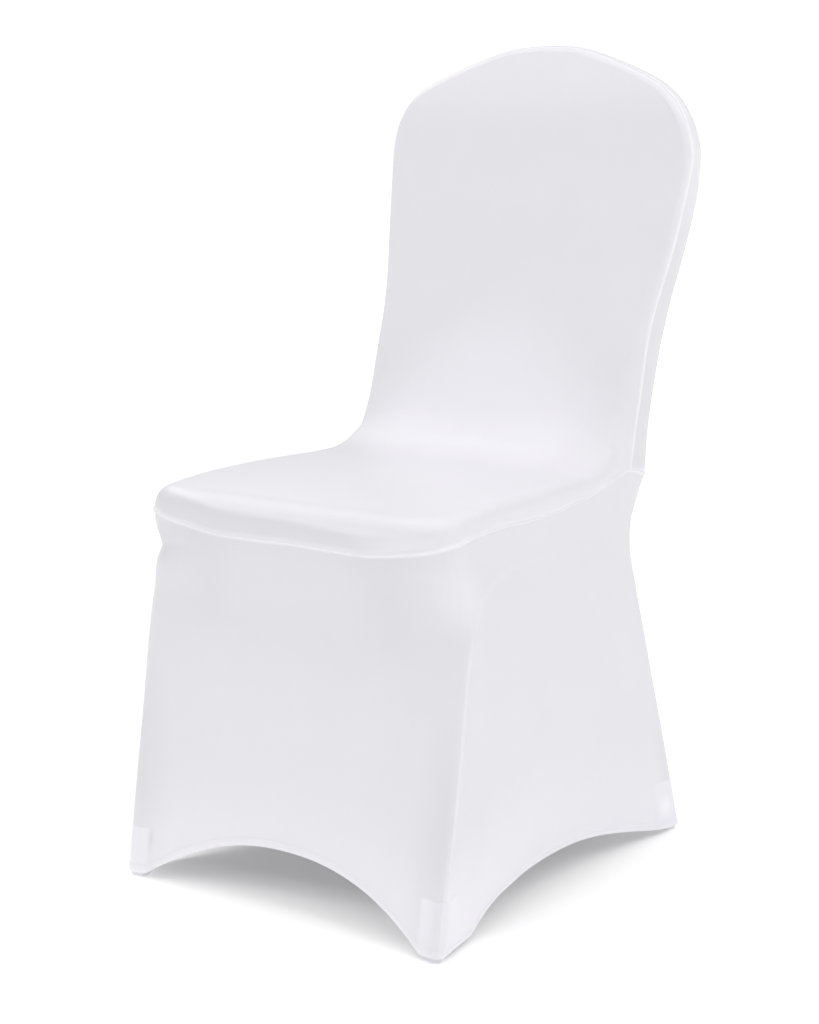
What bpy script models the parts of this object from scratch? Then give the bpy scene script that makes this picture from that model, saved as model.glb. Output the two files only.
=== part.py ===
"""Fitted spandex cover for a crown-back banquet chair: inner panel, rear panel, skirt and four foot pockets.

Metres, Z up, the seat's front towards -Y, the floor at z = 0. Every piece is a closed sheet of real thickness.
"""
import bmesh
import bpy
import numpy as np
from mathutils import Vector

for old in list(bpy.data.objects):
    bpy.data.objects.remove(old, do_unlink=True)

CLOTH = 0.0020          # thickness of the stretch cloth
LINING = 0.0015         # wall of a foot pocket
SEAM_GAP = 0.0004       # cut edges of two joined pieces lie this far apart
POCKET_GAP = 0.0004     # pocket wall to the inside of the skirt
CENTRE_Y = -0.02255     # moves the whole cover so that its box is centred on the Z axis

# Skirt: sharp plan corners, their rounding and the sag of each side, by share of the height
# (level 0 = floor, 1 = seam under the seat). Sags are positive inwards.
SKIRT = {
    "level":    [0.000, 0.250, 0.500, 0.720, 0.810, 0.880, 0.940, 1.000],
    "front_x":  [0.218, 0.2185, 0.2188, 0.2187, 0.2175, 0.2110, 0.2045, 0.2030],
    "front_y":  [-0.243, -0.229, -0.2132, -0.1985, -0.1912, -0.1970, -0.2080, -0.2125],
    "rear_x":   [0.195, 0.1910, 0.1870, 0.183, 0.181, 0.179, 0.178, 0.177],
    "rear_y":   [0.289, 0.2550, 0.2180, 0.190, 0.181, 0.184, 0.199, 0.2185],
    "front_r":  [0.011, 0.011, 0.011, 0.011, 0.014, 0.022, 0.030, 0.034],
    "rear_r":   [0.011, 0.011, 0.011, 0.014, 0.018, 0.022, 0.024, 0.024],
    "front_in": [0.022, 0.012, -0.001, -0.014, -0.018, -0.014, -0.005, 0.000],
    "side_in":  [0.022, 0.015, 0.009, 0.006, 0.005, 0.003, 0.001, 0.000],
    "rear_in":  [0.024, 0.013, 0.003, -0.006, -0.008, -0.006, -0.002, 0.000],
}
SKIRT_LEVELS = [0.0, 0.14, 0.30, 0.46, 0.60, 0.71, 0.80, 0.87, 0.93, 0.97, 1.0]

# Half of the ring round the skirt, front centre to rear centre: stretch and its number of cells.
# A place on the ring is the stretch's number plus a share of it: 0 front centre, 1 to 2 front corner,
# 2 to 3 side, 3 the hip where the three cloths meet, 3 to 4 the rest of the side, 4 to 5 rear corner,
# 6 rear centre.
RING = [("front", 6), ("front_corner", 4), ("side", 11), ("hip", 2), ("rear_corner", 4), ("rear", 6)]
HIP_SHARE = 0.920       # share of the straight side at which the hip lies

SEAM_HEIGHT = {
    "place":  [0.00, 0.55, 0.80, 1.00, 2.00, 2.18, 2.30, 2.45, 2.60, 2.75, 2.87, 3.00, 4.00, 5.00, 6.00],
    "height": [0.3965, 0.3950, 0.3995, 0.4050, 0.4190, 0.4230, 0.4222, 0.4226, 0.4268, 0.4325, 0.4400, 0.4495,
               0.4430, 0.4340, 0.4310],
}

# Hem: height at the feet and the three arches (rise, where it starts and ends as a share of the side)
HEM_FOOT = 0.005
ARCH_FRONT = (0.0660, 0.915)
ARCH_REAR = (0.0620, 0.900)
ARCH_SIDE = (0.0480, 0.085, 0.955)

# Seam round the back, right half, from the hip to the shoulder
BACK_SEAM = {
    "z": [0.4495, 0.470, 0.500, 0.530, 0.560, 0.590, 0.620, 0.650, 0.680, 0.710, 0.740, 0.770, 0.800],
    "x": [0.1795, 0.183, 0.1855, 0.1875, 0.188, 0.1878, 0.1895, 0.1935, 0.1985, 0.2025, 0.2055, 0.2085,
          0.2105],
    "y": [0.1645, 0.1675, 0.173, 0.179, 0.1845, 0.191, 0.1985, 0.2075, 0.216, 0.2235, 0.230, 0.2365,
          0.2425],
}
# The same seam over the crown (x, z), from the shoulder to the top centre, and how far it lies back
CROWN = [(0.2105, 0.800), (0.2080, 0.822), (0.2000, 0.843), (0.1860, 0.860), (0.1675, 0.8730),
         (0.1315, 0.8925), (0.0840, 0.9112), (0.0440, 0.9232), (0.0, 0.9268)]
CROWN_FOOT = 0.800
CROWN_LEAN = {
    "z": [0.800, 0.843, 0.8735, 0.8925, 0.9105, 0.9290],
    "y": [0.2425, 0.2380, 0.2385, 0.2420, 0.2490, 0.2570],
}
SHOULDER = (0.1925, 0.8560)     # (x, z) where the side of the back turns into its top

# Cells up the side of the back and from the shoulder to the top centre, as relative lengths
BACK_CELLS = [22, 28, 36, 42, 44, 44, 44, 42, 38, 30, 22, 18]
TOP_CELLS = [18, 22, 28, 32, 32, 32, 26, 20]

# Centre line of the inner panel (y, z): seat front, seat, sweep, front of the back
INNER_LINE = [(-0.240, 0.4300), (-0.200, 0.4390), (-0.150, 0.4465), (-0.080, 0.4505), (0.000, 0.4515),
              (0.055, 0.4520), (0.088, 0.4560), (0.112, 0.4680), (0.130, 0.4880), (0.1435, 0.5130),
              (0.1550, 0.5400), (0.1655, 0.5680), (0.1770, 0.5980), (0.1900, 0.6320), (0.2065, 0.6800),
              (0.2215, 0.7400), (0.2325, 0.8000), (0.2305, 0.8600), (0.2335, 0.9300), (0.2350, 0.9700)]
# Rise of the panel's middle above its edges, by the height z of the centre line
INNER_RISE = {"z": [0.430, 0.450, 0.4525, 0.470, 0.520, 0.600, 0.740, 0.800, 0.860, 0.930],
              "rise": [0.001, 0.004, 0.006, 0.012, 0.008, 0.003, 0.000, -0.004, -0.011, -0.0145]}
# Width of the roll between the flat of the panel and its seam, and how square the roll is, along the half seam
INNER_ROLL = {"share": [0.00, 0.14, 0.22, 0.30, 0.46, 0.52, 0.60, 0.75, 1.00],
              "width": [0.019, 0.019, 0.021, 0.018, 0.020, 0.026, 0.016, 0.009, 0.009],
              "square": [2.9, 2.9, 2.7, 2.7, 2.3, 2.0, 2.0, 2.0, 2.0]}

# Centre line of the rear panel (y, z), from below the waist to above the top
REAR_LINE = [(0.2190, 0.4000), (0.2185, 0.4310), (0.2170, 0.4650), (0.2190, 0.5000), (0.2240, 0.5300),
             (0.2320, 0.5600), (0.2410, 0.5900), (0.2490, 0.6200), (0.2550, 0.6500), (0.2620, 0.6800),
             (0.2690, 0.7100), (0.2755, 0.7400), (0.2765, 0.7700), (0.2725, 0.8000), (0.2590, 0.8600),
             (0.2580, 0.9400), (0.2590, 0.9700)]
REAR_RISE = {"z": [0.400, 0.600, 0.740, 0.800, 0.860, 0.930],
             "rise": [0.000, 0.003, 0.004, 0.008, 0.015, 0.019]}
REAR_ROLL = {"share": [0.0, 1.0], "width": [0.014, 0.014], "square": [2.3, 2.3]}
# How far the side of the back stands out past the seam, from the hip to the top centre
BULGE = {"share": [0.0, 0.10, 0.45, 0.65, 1.0], "out": [0.0, 0.0010, 0.0010, 0.0035, 0.0035]}
BULGE_SPREAD = (0.55, 1.0, 0.95)    # over the cells from the rear face to the seam
WAIST_FADE = 0.060                  # height over which the rear panel's foot turns into the waist seam
ROLL_CELLS = 4          # cells across the roll between a panel's flat and its seam
LINE_STEPS = 24         # points between two rows of a smooth line

# Foot pockets: height above the floor, and length of the two walls that lie along the skirt
POCKET = {"height": [0.0, 0.006, 0.022, 0.042, 0.062], "side": [0.0235, 0.0265, 0.0275, 0.0285, 0.0295]}
POCKET_STEPS = np.array([-1.0, -0.6, -0.3, -0.12, 0.0, 0.12, 0.3, 0.6, 1.0])    # points along the outer walls
POCKET_REACH = 1.2      # stretch of the ring's places that holds one pocket, each way from its middle
LEAN = 1.05             # the skirt's wall leans, so level cuts through it are this much thicker
POCKET_ROUND = 0.006
POCKET_BLUNT = 0.004    # the inner corner is set back towards the skirt
SOLE = 0.0020
SOLE_TUCK = 0.0015      # the sole's edge is rounded under

WHITE = (0.86, 0.86, 0.89)
LINING_WHITE = (0.88, 0.88, 0.90)


# Curves

def through(xs, ys, x):
    """Smooth curve through table rows that never overshoots them."""
    xs, ys = np.asarray(xs, float), np.asarray(ys, float)
    h = np.diff(xs)
    d = np.diff(ys) / h
    m = np.zeros(len(xs))
    for i in range(1, len(xs) - 1):
        if d[i - 1] * d[i] > 0:
            a, b = 2 * h[i] + h[i - 1], h[i] + 2 * h[i - 1]
            m[i] = (a + b) / (a / d[i - 1] + b / d[i])
    m[0], m[-1] = d[0], d[-1]
    x = np.clip(np.asarray(x, float), xs[0], xs[-1])
    i = np.clip(np.searchsorted(xs, x) - 1, 0, len(h) - 1)
    t = (x - xs[i]) / h[i]
    return ((2 * t**3 - 3 * t**2 + 1) * ys[i] + (t**3 - 2 * t**2 + t) * h[i] * m[i]
            + (-2 * t**3 + 3 * t**2) * ys[i + 1] + (t**3 - t**2) * h[i] * m[i + 1])


def spline(points, n):
    """Dense smooth line through a few points."""
    P = np.asarray(points, float)
    P = np.vstack([2 * P[0] - P[1], P, 2 * P[-1] - P[-2]])
    out = []
    for i in range(1, len(P) - 2):
        t = np.linspace(0, 1, n, endpoint=False)[:, None]
        a, b, c, d = P[i - 1], P[i], P[i + 1], P[i + 2]
        la, lb, lc = (np.linalg.norm(v) ** 0.5 for v in (b - a, c - b, d - c))
        mb = ((b - a) / la**2 * lb + (c - b) / lb**2 * la) / (la + lb) * lb**2
        mc = ((c - b) / lb**2 * lc + (d - c) / lc**2 * lb) / (lb + lc) * lb**2
        ends = (2 * t**3 - 3 * t**2 + 1) * b + (-2 * t**3 + 3 * t**2) * c
        out.append(ends + (t**3 - 2 * t**2 + t) * mb + (t**3 - t**2) * mc)
    out.append(P[-2][None])
    return np.vstack(out)


def lengths(line):
    return np.concatenate([[0.0], np.cumsum(np.linalg.norm(np.diff(line, axis=0), axis=1))])


def along(line, shares):
    d = lengths(line)
    return np.stack([np.interp(np.asarray(shares) * d[-1], d, line[:, k]) for k in range(line.shape[1])], -1)


def unit(v):
    return v / np.maximum(np.linalg.norm(v, axis=-1, keepdims=True), 1e-12)


def mirrored(P):
    return np.asarray(P) * np.array([-1.0, 1.0, 1.0])


def cell_shares(cells):
    return np.concatenate([[0.0], np.cumsum(cells)]) / np.sum(cells)


# Ring of the skirt

def ring_places():
    out = [0.0]
    for k, (stretch, cells) in enumerate(RING):
        out += [k + (j + 1) / cells for j in range(cells)]
    return np.array(out)


def ring_plan(level, place):
    """Plan position of one place of the half ring at one level."""
    r = {key: float(through(SKIRT["level"], SKIRT[key], level)) for key in SKIRT if key != "level"}
    front = np.array([r["front_x"], r["front_y"]])
    rear = np.array([r["rear_x"], r["rear_y"]])
    side = unit(rear - front)
    a, b = front - [r["front_r"], 0], front + side * r["front_r"]
    c, d = rear - side * r["rear_r"], rear - [r["rear_r"], 0]
    k = min(int(place), 5)
    t = place - k
    if k == 0:
        return np.array([a[0] * t, a[1] + r["front_in"] * (1 - t * t)])
    if k == 1:
        return (1 - t) ** 2 * a + 2 * t * (1 - t) * front + t * t * b
    if k in (2, 3):
        s = HIP_SHARE * t if k == 2 else HIP_SHARE + (1 - HIP_SHARE) * t
        return b + (c - b) * s - [r["side_in"] * (1 - (2 * s - 1) ** 2), 0]
    if k == 4:
        return (1 - t) ** 2 * c + 2 * t * (1 - t) * rear + t * t * d
    return np.array([d[0] * (1 - t), d[1] - r["rear_in"] * (1 - (1 - t) ** 2)])


def seam_height(place):
    return float(through(SEAM_HEIGHT["place"], SEAM_HEIGHT["height"], place))


def hem_height(place):
    k = min(int(place), 5)
    t = place - k
    rise = 0.0
    if k == 0:
        rise = ARCH_FRONT[0] * max(0.0, 1 - (t / ARCH_FRONT[1]) ** 2)
    elif k == 5:
        rise = ARCH_REAR[0] * max(0.0, 1 - ((1 - t) / ARCH_REAR[1]) ** 2)
    elif k in (2, 3):
        s = HIP_SHARE * t if k == 2 else HIP_SHARE + (1 - HIP_SHARE) * t
        high, start, end = ARCH_SIDE
        rise = high * max(0.0, 1 - ((s - (start + end) / 2) / ((end - start) / 2)) ** 2)
    return HEM_FOOT + rise


def skirt_point(place, height):
    x, y = ring_plan(height / seam_height(place), place)
    return np.array([x, y, height])


# Seams

def seat_seam(places):
    return np.array([[*ring_plan(1.0, p), seam_height(p)] for p in places])


def back_seam():
    """The seam up the side of the back and over the shoulder to the top centre, sampled cell by cell."""
    z = np.linspace(BACK_SEAM["z"][0], CROWN_FOOT, 60)
    rising = np.column_stack([through(BACK_SEAM["z"], BACK_SEAM["x"], z), z])
    line = np.vstack([rising[:-1], spline(CROWN, LINE_STEPS)])
    k = np.argmin(np.linalg.norm(line - SHOULDER, axis=1))
    side = along(line[:k + 1], cell_shares(BACK_CELLS))
    top = along(line[k:], cell_shares(TOP_CELLS))
    flat = np.vstack([side, top[1:]])
    low = through(BACK_SEAM["z"], BACK_SEAM["y"], flat[:, 1])
    high = through(CROWN_LEAN["z"], CROWN_LEAN["y"], flat[:, 1])
    y = np.where(flat[:, 1] < CROWN_FOOT, low, high)
    return np.column_stack([flat[:, 0], y, flat[:, 1]])


def miter(a, b):
    """Offset direction at a corner between two edges whose offset directions are a and b."""
    return (a + b) / (1 + np.sum(a * b, -1, keepdims=True))


# Panels laid over a form

class Line:
    """A centre line in the YZ plane, laid out flat: distance p along it, its points and its normals."""

    def __init__(self, rows, side):
        self.points = spline(rows, LINE_STEPS)
        self.p = lengths(self.points)
        t = unit(np.gradient(self.points, axis=0))
        self.normal = side * np.column_stack([-t[:, 1], t[:, 0]])

    def at(self, p):
        yz = np.stack([np.interp(p, self.p, self.points[:, k]) for k in (0, 1)], -1)
        n = np.stack([np.interp(p, self.p, self.normal[:, k]) for k in (0, 1)], -1)
        return yz, unit(n)

    def foot(self, y, z):
        """Distance along the line of the point nearest to (y, z)."""
        a, b = self.points[:-1], self.points[1:]
        d = b - a
        t = np.clip(((np.array([y, z]) - a) * d).sum(1) / (d * d).sum(1), 0, 1)
        k = int(np.argmin(((a + d * t[:, None] - [y, z]) ** 2).sum(1)))
        return self.p[k] + t[k] * (self.p[k + 1] - self.p[k])


def lay(line, rise, half_width, pattern):
    """Points of the panel over flat pattern points (x, p)."""
    x, p = pattern[..., 0], pattern[..., 1]
    yz, n = line.at(p)
    lift = through(rise["z"], rise["rise"], yz[..., 1]) * (1 - np.clip(x / half_width, -1, 1) ** 2)
    yz = yz + n * lift[..., None]
    return np.stack([x, yz[..., 0], yz[..., 1]], -1)


def form_normals(line, rise, half_width, pattern):
    e = 0.0005      # small step for the slopes
    across = lay(line, rise, half_width, pattern + [e, 0]) - lay(line, rise, half_width, pattern - [e, 0])
    along_it = lay(line, rise, half_width, pattern + [0, e]) - lay(line, rise, half_width, pattern - [0, e])
    n = unit(np.cross(across, along_it))
    side = line.at(pattern[..., 1])[1]
    return n * np.sign(n[..., 1] * side[..., 0] + n[..., 2] * side[..., 1])[..., None]


def coons(bottom, right, top, left):
    """Grid inside four edge curves that share corners; rows run from bottom to top."""
    u = (lengths(bottom) / lengths(bottom)[-1])[None, :, None]
    v = (lengths(right) / lengths(right)[-1])[:, None, None]
    ruled = (1 - v) * bottom[None] + v * top[None] + (1 - u) * left[:, None] + u * right[:, None]
    corners = (1 - u) * (1 - v) * bottom[0] + u * (1 - v) * bottom[-1] + (1 - u) * v * top[0] + u * v * top[-1]
    return ruled - corners


def flat_outline(line, roll, half):
    """Edge of the panel's flat on the pattern, a roll's width inside the seam, and how square the roll is."""
    seam = np.column_stack([half[:, 0], [line.foot(q[1], q[2]) for q in half]])
    share = lengths(half) / lengths(half)[-1]
    width = through(roll["share"], roll["width"], share)
    t = unit(np.gradient(seam, axis=0))
    inset = seam + np.column_stack([-t[:, 1], t[:, 0]]) * width[:, None]
    inset[-1] = [0.0, seam[-1, 1] - width[-1]]
    if half[0, 0] == 0.0:
        inset[0] = [0.0, seam[0, 1] + width[0]]
    return inset, through(roll["share"], roll["square"], share)


def plate(line, rise, bottom_half, right, top_half):
    """Flat of a panel: its points, its normals and its quads. The halves run outwards from the centre line."""
    flip = np.array([-1.0, 1.0])
    bottom = np.vstack([(bottom_half * flip)[::-1], bottom_half[1:]])
    top = np.vstack([(top_half * flip)[::-1], top_half[1:]])
    pattern = coons(bottom, right, top, right * flip)
    rows, cols = pattern.shape[:2]
    half_width = np.repeat(np.abs(pattern[..., 0]).max(axis=1)[:, None], cols, axis=1)
    faces = [(j * cols + i, j * cols + i + 1, (j + 1) * cols + i + 1, (j + 1) * cols + i)
             for j in range(rows - 1) for i in range(cols - 1)]
    return lay(line, rise, half_width, pattern), form_normals(line, rise, half_width, pattern), faces


def roll_layers(flat, n, seam, square):
    """Points of the rolled edge between the flat's edge (normals n) and the seam, layer by layer."""
    d = seam - flat
    drop = -np.sum(d * n, -1, keepdims=True)
    outward = d + drop * n
    power = (2 / np.asarray(square))[:, None]
    layers = []
    for k in range(1, ROLL_CELLS):
        a = np.pi / 2 * k / ROLL_CELLS
        layers.append(flat + outward * np.sin(a) ** power - n * drop * (1 - np.cos(a) ** power))
    return layers + [seam.copy()]


def both_halves(half, corner=None):
    """The whole edge loop from its half. With a corner it is closed and starts at the left bottom corner."""
    if corner is None:
        return np.vstack([half, mirrored(half[:-1])[::-1]])
    return np.vstack([mirrored(half[:corner + 1])[::-1], half[1:], mirrored(half[corner + 1:-1])[::-1]])


def add_strips(verts, faces, loop, layers, closed):
    """Joins the layers to the loop with quads, and returns the vertex numbers of the last layer."""
    count = len(loop)
    for layer in layers:
        now = list(range(len(verts), len(verts) + count))
        verts.extend(layer)
        for k in range(count if closed else count - 1):
            k2 = (k + 1) % count
            faces.append((loop[k], loop[k2], now[k2], now[k]))
        loop = now
    return loop


# Sheets and pieces

def add_piece(name, bm, colour, roughness):
    bmesh.ops.recalc_face_normals(bm, faces=bm.faces[:])
    mesh = bpy.data.meshes.new(name)
    bm.to_mesh(mesh)
    bm.free()
    mesh.shade_smooth()
    piece = bpy.data.objects.new(name, mesh)
    piece.location.y = CENTRE_Y
    bpy.context.scene.collection.objects.link(piece)
    cloth = bpy.data.materials.new(name + "_cloth")
    cloth.use_nodes = True
    shader = next(n for n in cloth.node_tree.nodes if n.type == "BSDF_PRINCIPLED")
    shader.inputs["Base Color"].default_value = (*colour, 1.0)
    shader.inputs["Roughness"].default_value = roughness
    shader.inputs["Metallic"].default_value = 0.0
    cloth.diffuse_color = (*colour, 1.0)
    mesh.materials.append(cloth)
    return piece


def add_sheet(name, verts, faces, edge_out, thickness, colour, roughness):
    """A sheet from its outer face: the face is extruded inwards by the thickness. Along the seams the cut edge
    follows edge_out, which both joined pieces share, so the cut edges stay parallel."""
    bm = bmesh.new()
    number = bm.verts.layers.int.new("number")
    points = [bm.verts.new(v) for v in verts]
    for i, v in enumerate(points):
        v[number] = i
    for f in faces:
        bm.faces.new([points[i] for i in f])
    bmesh.ops.recalc_face_normals(bm, faces=bm.faces[:])
    bm.normal_update()
    out = np.array([v.normal for v in points])
    middle = int(np.argmax(np.asarray(verts)[:, 0]))
    if out[middle, 0] < 0:
        out = -out
    for i, direction in edge_out.items():
        out[i] = direction
    grown = bmesh.ops.extrude_face_region(bm, geom=bm.faces[:], use_keep_orig=True)["geom"]
    for v in grown:
        if isinstance(v, bmesh.types.BMVert):
            v.co -= Vector(out[v[number]]) * thickness
    bm.verts.layers.int.remove(number)
    return add_piece(name, bm, colour, roughness)


# The shared seams, right half

FRONT_CORNER = RING[0][1] + RING[1][1] // 2
HIP = RING[0][1] + RING[1][1] + RING[2][1]
REAR_CORNER = HIP + RING[3][1] + RING[4][1] // 2
SHOULDER_AT = len(BACK_CELLS)
PLACES = ring_places()
RING_SEAM = seat_seam(PLACES)
UP_SEAM = back_seam()
UP_SEAM[0] = RING_SEAM[HIP]

# Square to the ring seam: outwards, and up towards the panels
ring_run = np.gradient(RING_SEAM, axis=0)
RING_OUT = unit(np.column_stack([ring_run[:, 1], -ring_run[:, 0], np.zeros(len(PLACES))]))
RING_OUT[0] = [0, -1, 0]
RING_OUT[-1] = [0, 1, 0]
RING_UP = unit(np.cross(ring_run, RING_OUT))
RING_UP *= np.sign(RING_UP[:, 2:3])
# Square to the back seam: forwards towards the inner panel, and outwards
up_run = unit(np.gradient(UP_SEAM, axis=0))
up_run[-1] = [-1, 0, 0]
ahead = np.array([0, -1.0, 0.12])
UP_FORWARD = unit(ahead - up_run * (up_run @ ahead)[:, None])
UP_OUT = unit(np.cross(up_run, UP_FORWARD))
UP_OUT *= np.sign(UP_OUT[:, 0:1] + 2 * UP_OUT[:, 2:3])
HIP_OUT = unit(RING_OUT[HIP] + UP_OUT[0])
RING_OUT[HIP] = HIP_OUT
UP_OUT[0] = HIP_OUT


def inner_panel():
    """Back front, sweep, seat and the seat's front edge, cut in one piece."""
    line = Line(INNER_LINE, 1)
    half = np.vstack([RING_SEAM[:HIP + 1], UP_SEAM[1:]])
    inside = np.vstack([RING_UP[:HIP], miter(RING_UP[HIP], UP_FORWARD[0])[None], UP_FORWARD[1:]])
    out = np.vstack([RING_OUT[:HIP + 1], UP_OUT[1:]])
    inset, square = flat_outline(line, INNER_ROLL, half)
    top = HIP + SHOULDER_AT
    points, normals, faces = plate(line, INNER_RISE, inset[:FRONT_CORNER + 1], inset[FRONT_CORNER:top + 1],
                                   inset[top:][::-1])
    rows, cols = points.shape[:2]
    loop = list(range(cols)) + [j * cols + cols - 1 for j in range(1, rows)]
    loop += [(rows - 1) * cols + i for i in range(cols - 2, -1, -1)]
    loop += [j * cols for j in range(rows - 2, 0, -1)]
    verts = list(points.reshape(-1, 3))
    seam = both_halves(half + inside * SEAM_GAP / 2, FRONT_CORNER)
    square = both_halves(np.column_stack([square] * 3), FRONT_CORNER)[:, 1]
    layers = roll_layers(points.reshape(-1, 3)[loop], normals.reshape(-1, 3)[loop], seam, square)
    edge = add_strips(verts, faces, loop, layers, True)
    out = both_halves(out, FRONT_CORNER)
    return verts, faces, {i: out[k] for k, i in enumerate(edge)}


def rear_panel():
    """Outside of the back with its sides and top, down to the waist seam."""
    line = Line(REAR_LINE, -1)
    half = UP_SEAM.copy()
    inset, square = flat_outline(line, REAR_ROLL, half)
    waist = RING_SEAM[REAR_CORNER:][::-1]
    low = np.column_stack([waist[:, 0], [line.foot(q[1], q[2]) for q in waist]])
    inset[0] = low[-1]
    points, normals, faces = plate(line, REAR_RISE, low, inset[:SHOULDER_AT + 1], inset[SHOULDER_AT:][::-1])
    rows, cols = points.shape[:2]
    # the lowest row follows the waist seam, and the pull towards it fades out above
    waist_edge = RING_SEAM + RING_UP * SEAM_GAP / 2
    lowest = waist_edge[REAR_CORNER:][::-1]
    lowest = np.vstack([mirrored(lowest)[::-1], lowest[1:]])
    above = points[:, cols // 2, 2] - points[0, cols // 2, 2]
    points = points + (lowest - points[0])[None] * (np.clip(1 - above / WAIST_FADE, 0, 1) ** 2)[:, None, None]
    loop = [j * cols + cols - 1 for j in range(rows)]
    loop += [(rows - 1) * cols + i for i in range(cols - 2, -1, -1)]
    loop += [j * cols for j in range(rows - 2, -1, -1)]
    verts = list(points.reshape(-1, 3))
    seam = half - UP_FORWARD * SEAM_GAP / 2
    seam[0] = half[0] + miter(RING_UP[HIP], -UP_FORWARD[0]) * SEAM_GAP / 2
    square = both_halves(np.column_stack([square] * 3))[:, 1]
    layers = roll_layers(points.reshape(-1, 3)[loop], normals.reshape(-1, 3)[loop], both_halves(seam), square)
    share = lengths(half) / lengths(half)[-1]
    bulge = both_halves(np.column_stack([through(BULGE["share"], BULGE["out"], share)] * 3))[:, 1:2]
    out = both_halves(UP_OUT)
    fade = np.clip(1 - (half[:, 2] - half[0, 2]) / WAIST_FADE, 0, 1) ** 2
    last = len(loop) - 1
    for m in range(ROLL_CELLS - 1):
        layers[m] = layers[m] + out * bulge * BULGE_SPREAD[m]
        goal = waist_edge[REAR_CORNER - 1 - m]
        for first, step, end in ((0, 1, goal), (last, -1, mirrored(goal))):
            move = end - layers[m][first]
            for k in range(SHOULDER_AT):
                layers[m][first + step * k] += move * fade[k]
    start = len(verts)
    edge = add_strips(verts, faces, loop, layers, False)
    edge_out = {i: out[k] for k, i in enumerate(edge)}
    for i in range(cols):
        k = len(PLACES) - 1 - abs(i - cols // 2)
        edge_out[i] = RING_OUT[k] if i >= cols // 2 else mirrored(RING_OUT[k])
    for m in range(ROLL_CELLS - 1):
        edge_out[start + m * len(loop)] = RING_OUT[REAR_CORNER - 1 - m]
        edge_out[start + m * len(loop) + last] = mirrored(RING_OUT[REAR_CORNER - 1 - m])
    return verts, faces, edge_out


def skirt():
    """One band all round, from the seam under the seat to the arched hem."""
    half = []
    for index, place in enumerate(PLACES):
        low, high = hem_height(place), seam_height(place)
        column = [skirt_point(place, low + (high - low) * v) for v in SKIRT_LEVELS[:-1]]
        half.append(column + [RING_SEAM[index] - RING_UP[index] * SEAM_GAP / 2])
    half = np.array(half)
    ring = np.concatenate([half, mirrored(half[1:-1])[::-1]])
    cols, rows = ring.shape[:2]
    faces = []
    for i in range(cols):
        k = (i + 1) % cols
        faces += [(i * rows + j, k * rows + j, k * rows + j + 1, i * rows + j + 1) for j in range(rows - 1)]
    out = np.concatenate([RING_OUT, mirrored(RING_OUT[1:-1])[::-1]])
    return list(ring.reshape(-1, 3)), faces, {i * rows + rows - 1: out[i] for i in range(cols)}


# Foot pockets

def rounded(before, corner, after):
    """Three points that round a corner of the pocket."""
    a = corner + unit(before - corner) * POCKET_ROUND
    b = corner + unit(after - corner) * POCKET_ROUND
    return [a, 0.25 * a + 0.5 * corner + 0.25 * b, b]


def pocket_loop(middle, height, side, tuck):
    """Plan loop of a pocket's outer face at one height: two walls along the skirt, two across the inside."""
    places = np.linspace(middle - POCKET_REACH, middle + POCKET_REACH, 240)
    line = np.array([ring_plan(height / seam_height(p), p) for p in places])
    t = unit(np.gradient(line, axis=0))
    line = line + np.column_stack([-t[:, 1], t[:, 0]]) * (CLOTH * LEAN + POCKET_GAP + tuck)
    d = lengths(line)
    d = d - np.interp(middle, places, d)
    at = POCKET_STEPS * (side - POCKET_ROUND)
    walls = np.column_stack([np.interp(at, d, line[:, k]) for k in (0, 1)])
    ends = np.column_stack([np.interp([-side, side], d, line[:, k]) for k in (0, 1)])
    outer = walls[len(walls) // 2]
    inner = ends[0] + ends[1] - outer - unit(ends.mean(axis=0) - outer) * POCKET_BLUNT
    loop = list(walls)
    loop += rounded(walls[-1], ends[1], inner)[1:]
    loop += rounded(ends[1], inner, ends[0])
    loop += rounded(inner, ends[0], walls[0])[:-1]
    return np.array(loop)


def inset_loop(loop, by):
    t = unit(np.roll(loop, -1, axis=0) - np.roll(loop, 1, axis=0))
    return loop + np.column_stack([-t[:, 1], t[:, 0]]) * by


def add_pocket(name, middle, right_side):
    """A cup of lining in the skirt's corner, open at the top, whose sole lies on the floor."""
    outer = [(pocket_loop(middle, z, side, SOLE_TUCK if z == 0 else 0.0), z)
             for z, side in zip(POCKET["height"], POCKET["side"])]
    inner = [(inset_loop(loop, LINING), z) for loop, z in outer[1:]]
    sole = inset_loop(pocket_loop(middle, SOLE, POCKET["side"][0] + SOLE_TUCK, SOLE_TUCK / 2), LINING)
    bm = bmesh.new()
    rings = []
    for loop, z in outer + inner[::-1] + [(sole, SOLE)]:
        flip = 1 if right_side else -1
        rings.append([bm.verts.new((flip * x, y, z)) for x, y in loop])
    for a, b in zip(rings, rings[1:]):
        for k in range(len(a)):
            k2 = (k + 1) % len(a)
            bm.faces.new((a[k], a[k2], b[k2], b[k]))
    bm.faces.new(rings[0])
    bm.faces.new(rings[-1])
    return add_piece(name, bm, LINING_WHITE, 0.75)


add_sheet("inner_panel", *inner_panel(), CLOTH, WHITE, 0.62)
add_sheet("rear_panel", *rear_panel(), CLOTH, WHITE, 0.62)
add_sheet("skirt", *skirt(), CLOTH, WHITE, 0.62)
add_pocket("foot_pocket_front_left", 1.5, False)
add_pocket("foot_pocket_front_right", 1.5, True)
add_pocket("foot_pocket_rear_left", 4.5, False)
add_pocket("foot_pocket_rear_right", 4.5, True)
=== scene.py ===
# %% [markdown]
# # A fitted stretch cover for a banquet chair
# The real cover is a sleeve of white spandex knit, pulled over a chair with a rounded crown back. It is cut in
# three pieces: one that runs down the front of the back, over the seat and round its edge, one for the outside
# of the back, and a skirt that flares to the floor. Four small cups of doubled cloth inside the skirt's corners
# hold it down. This lesson builds each piece as a closed sheet of real thickness, in metres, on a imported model
# that fixes where everything is.

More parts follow.
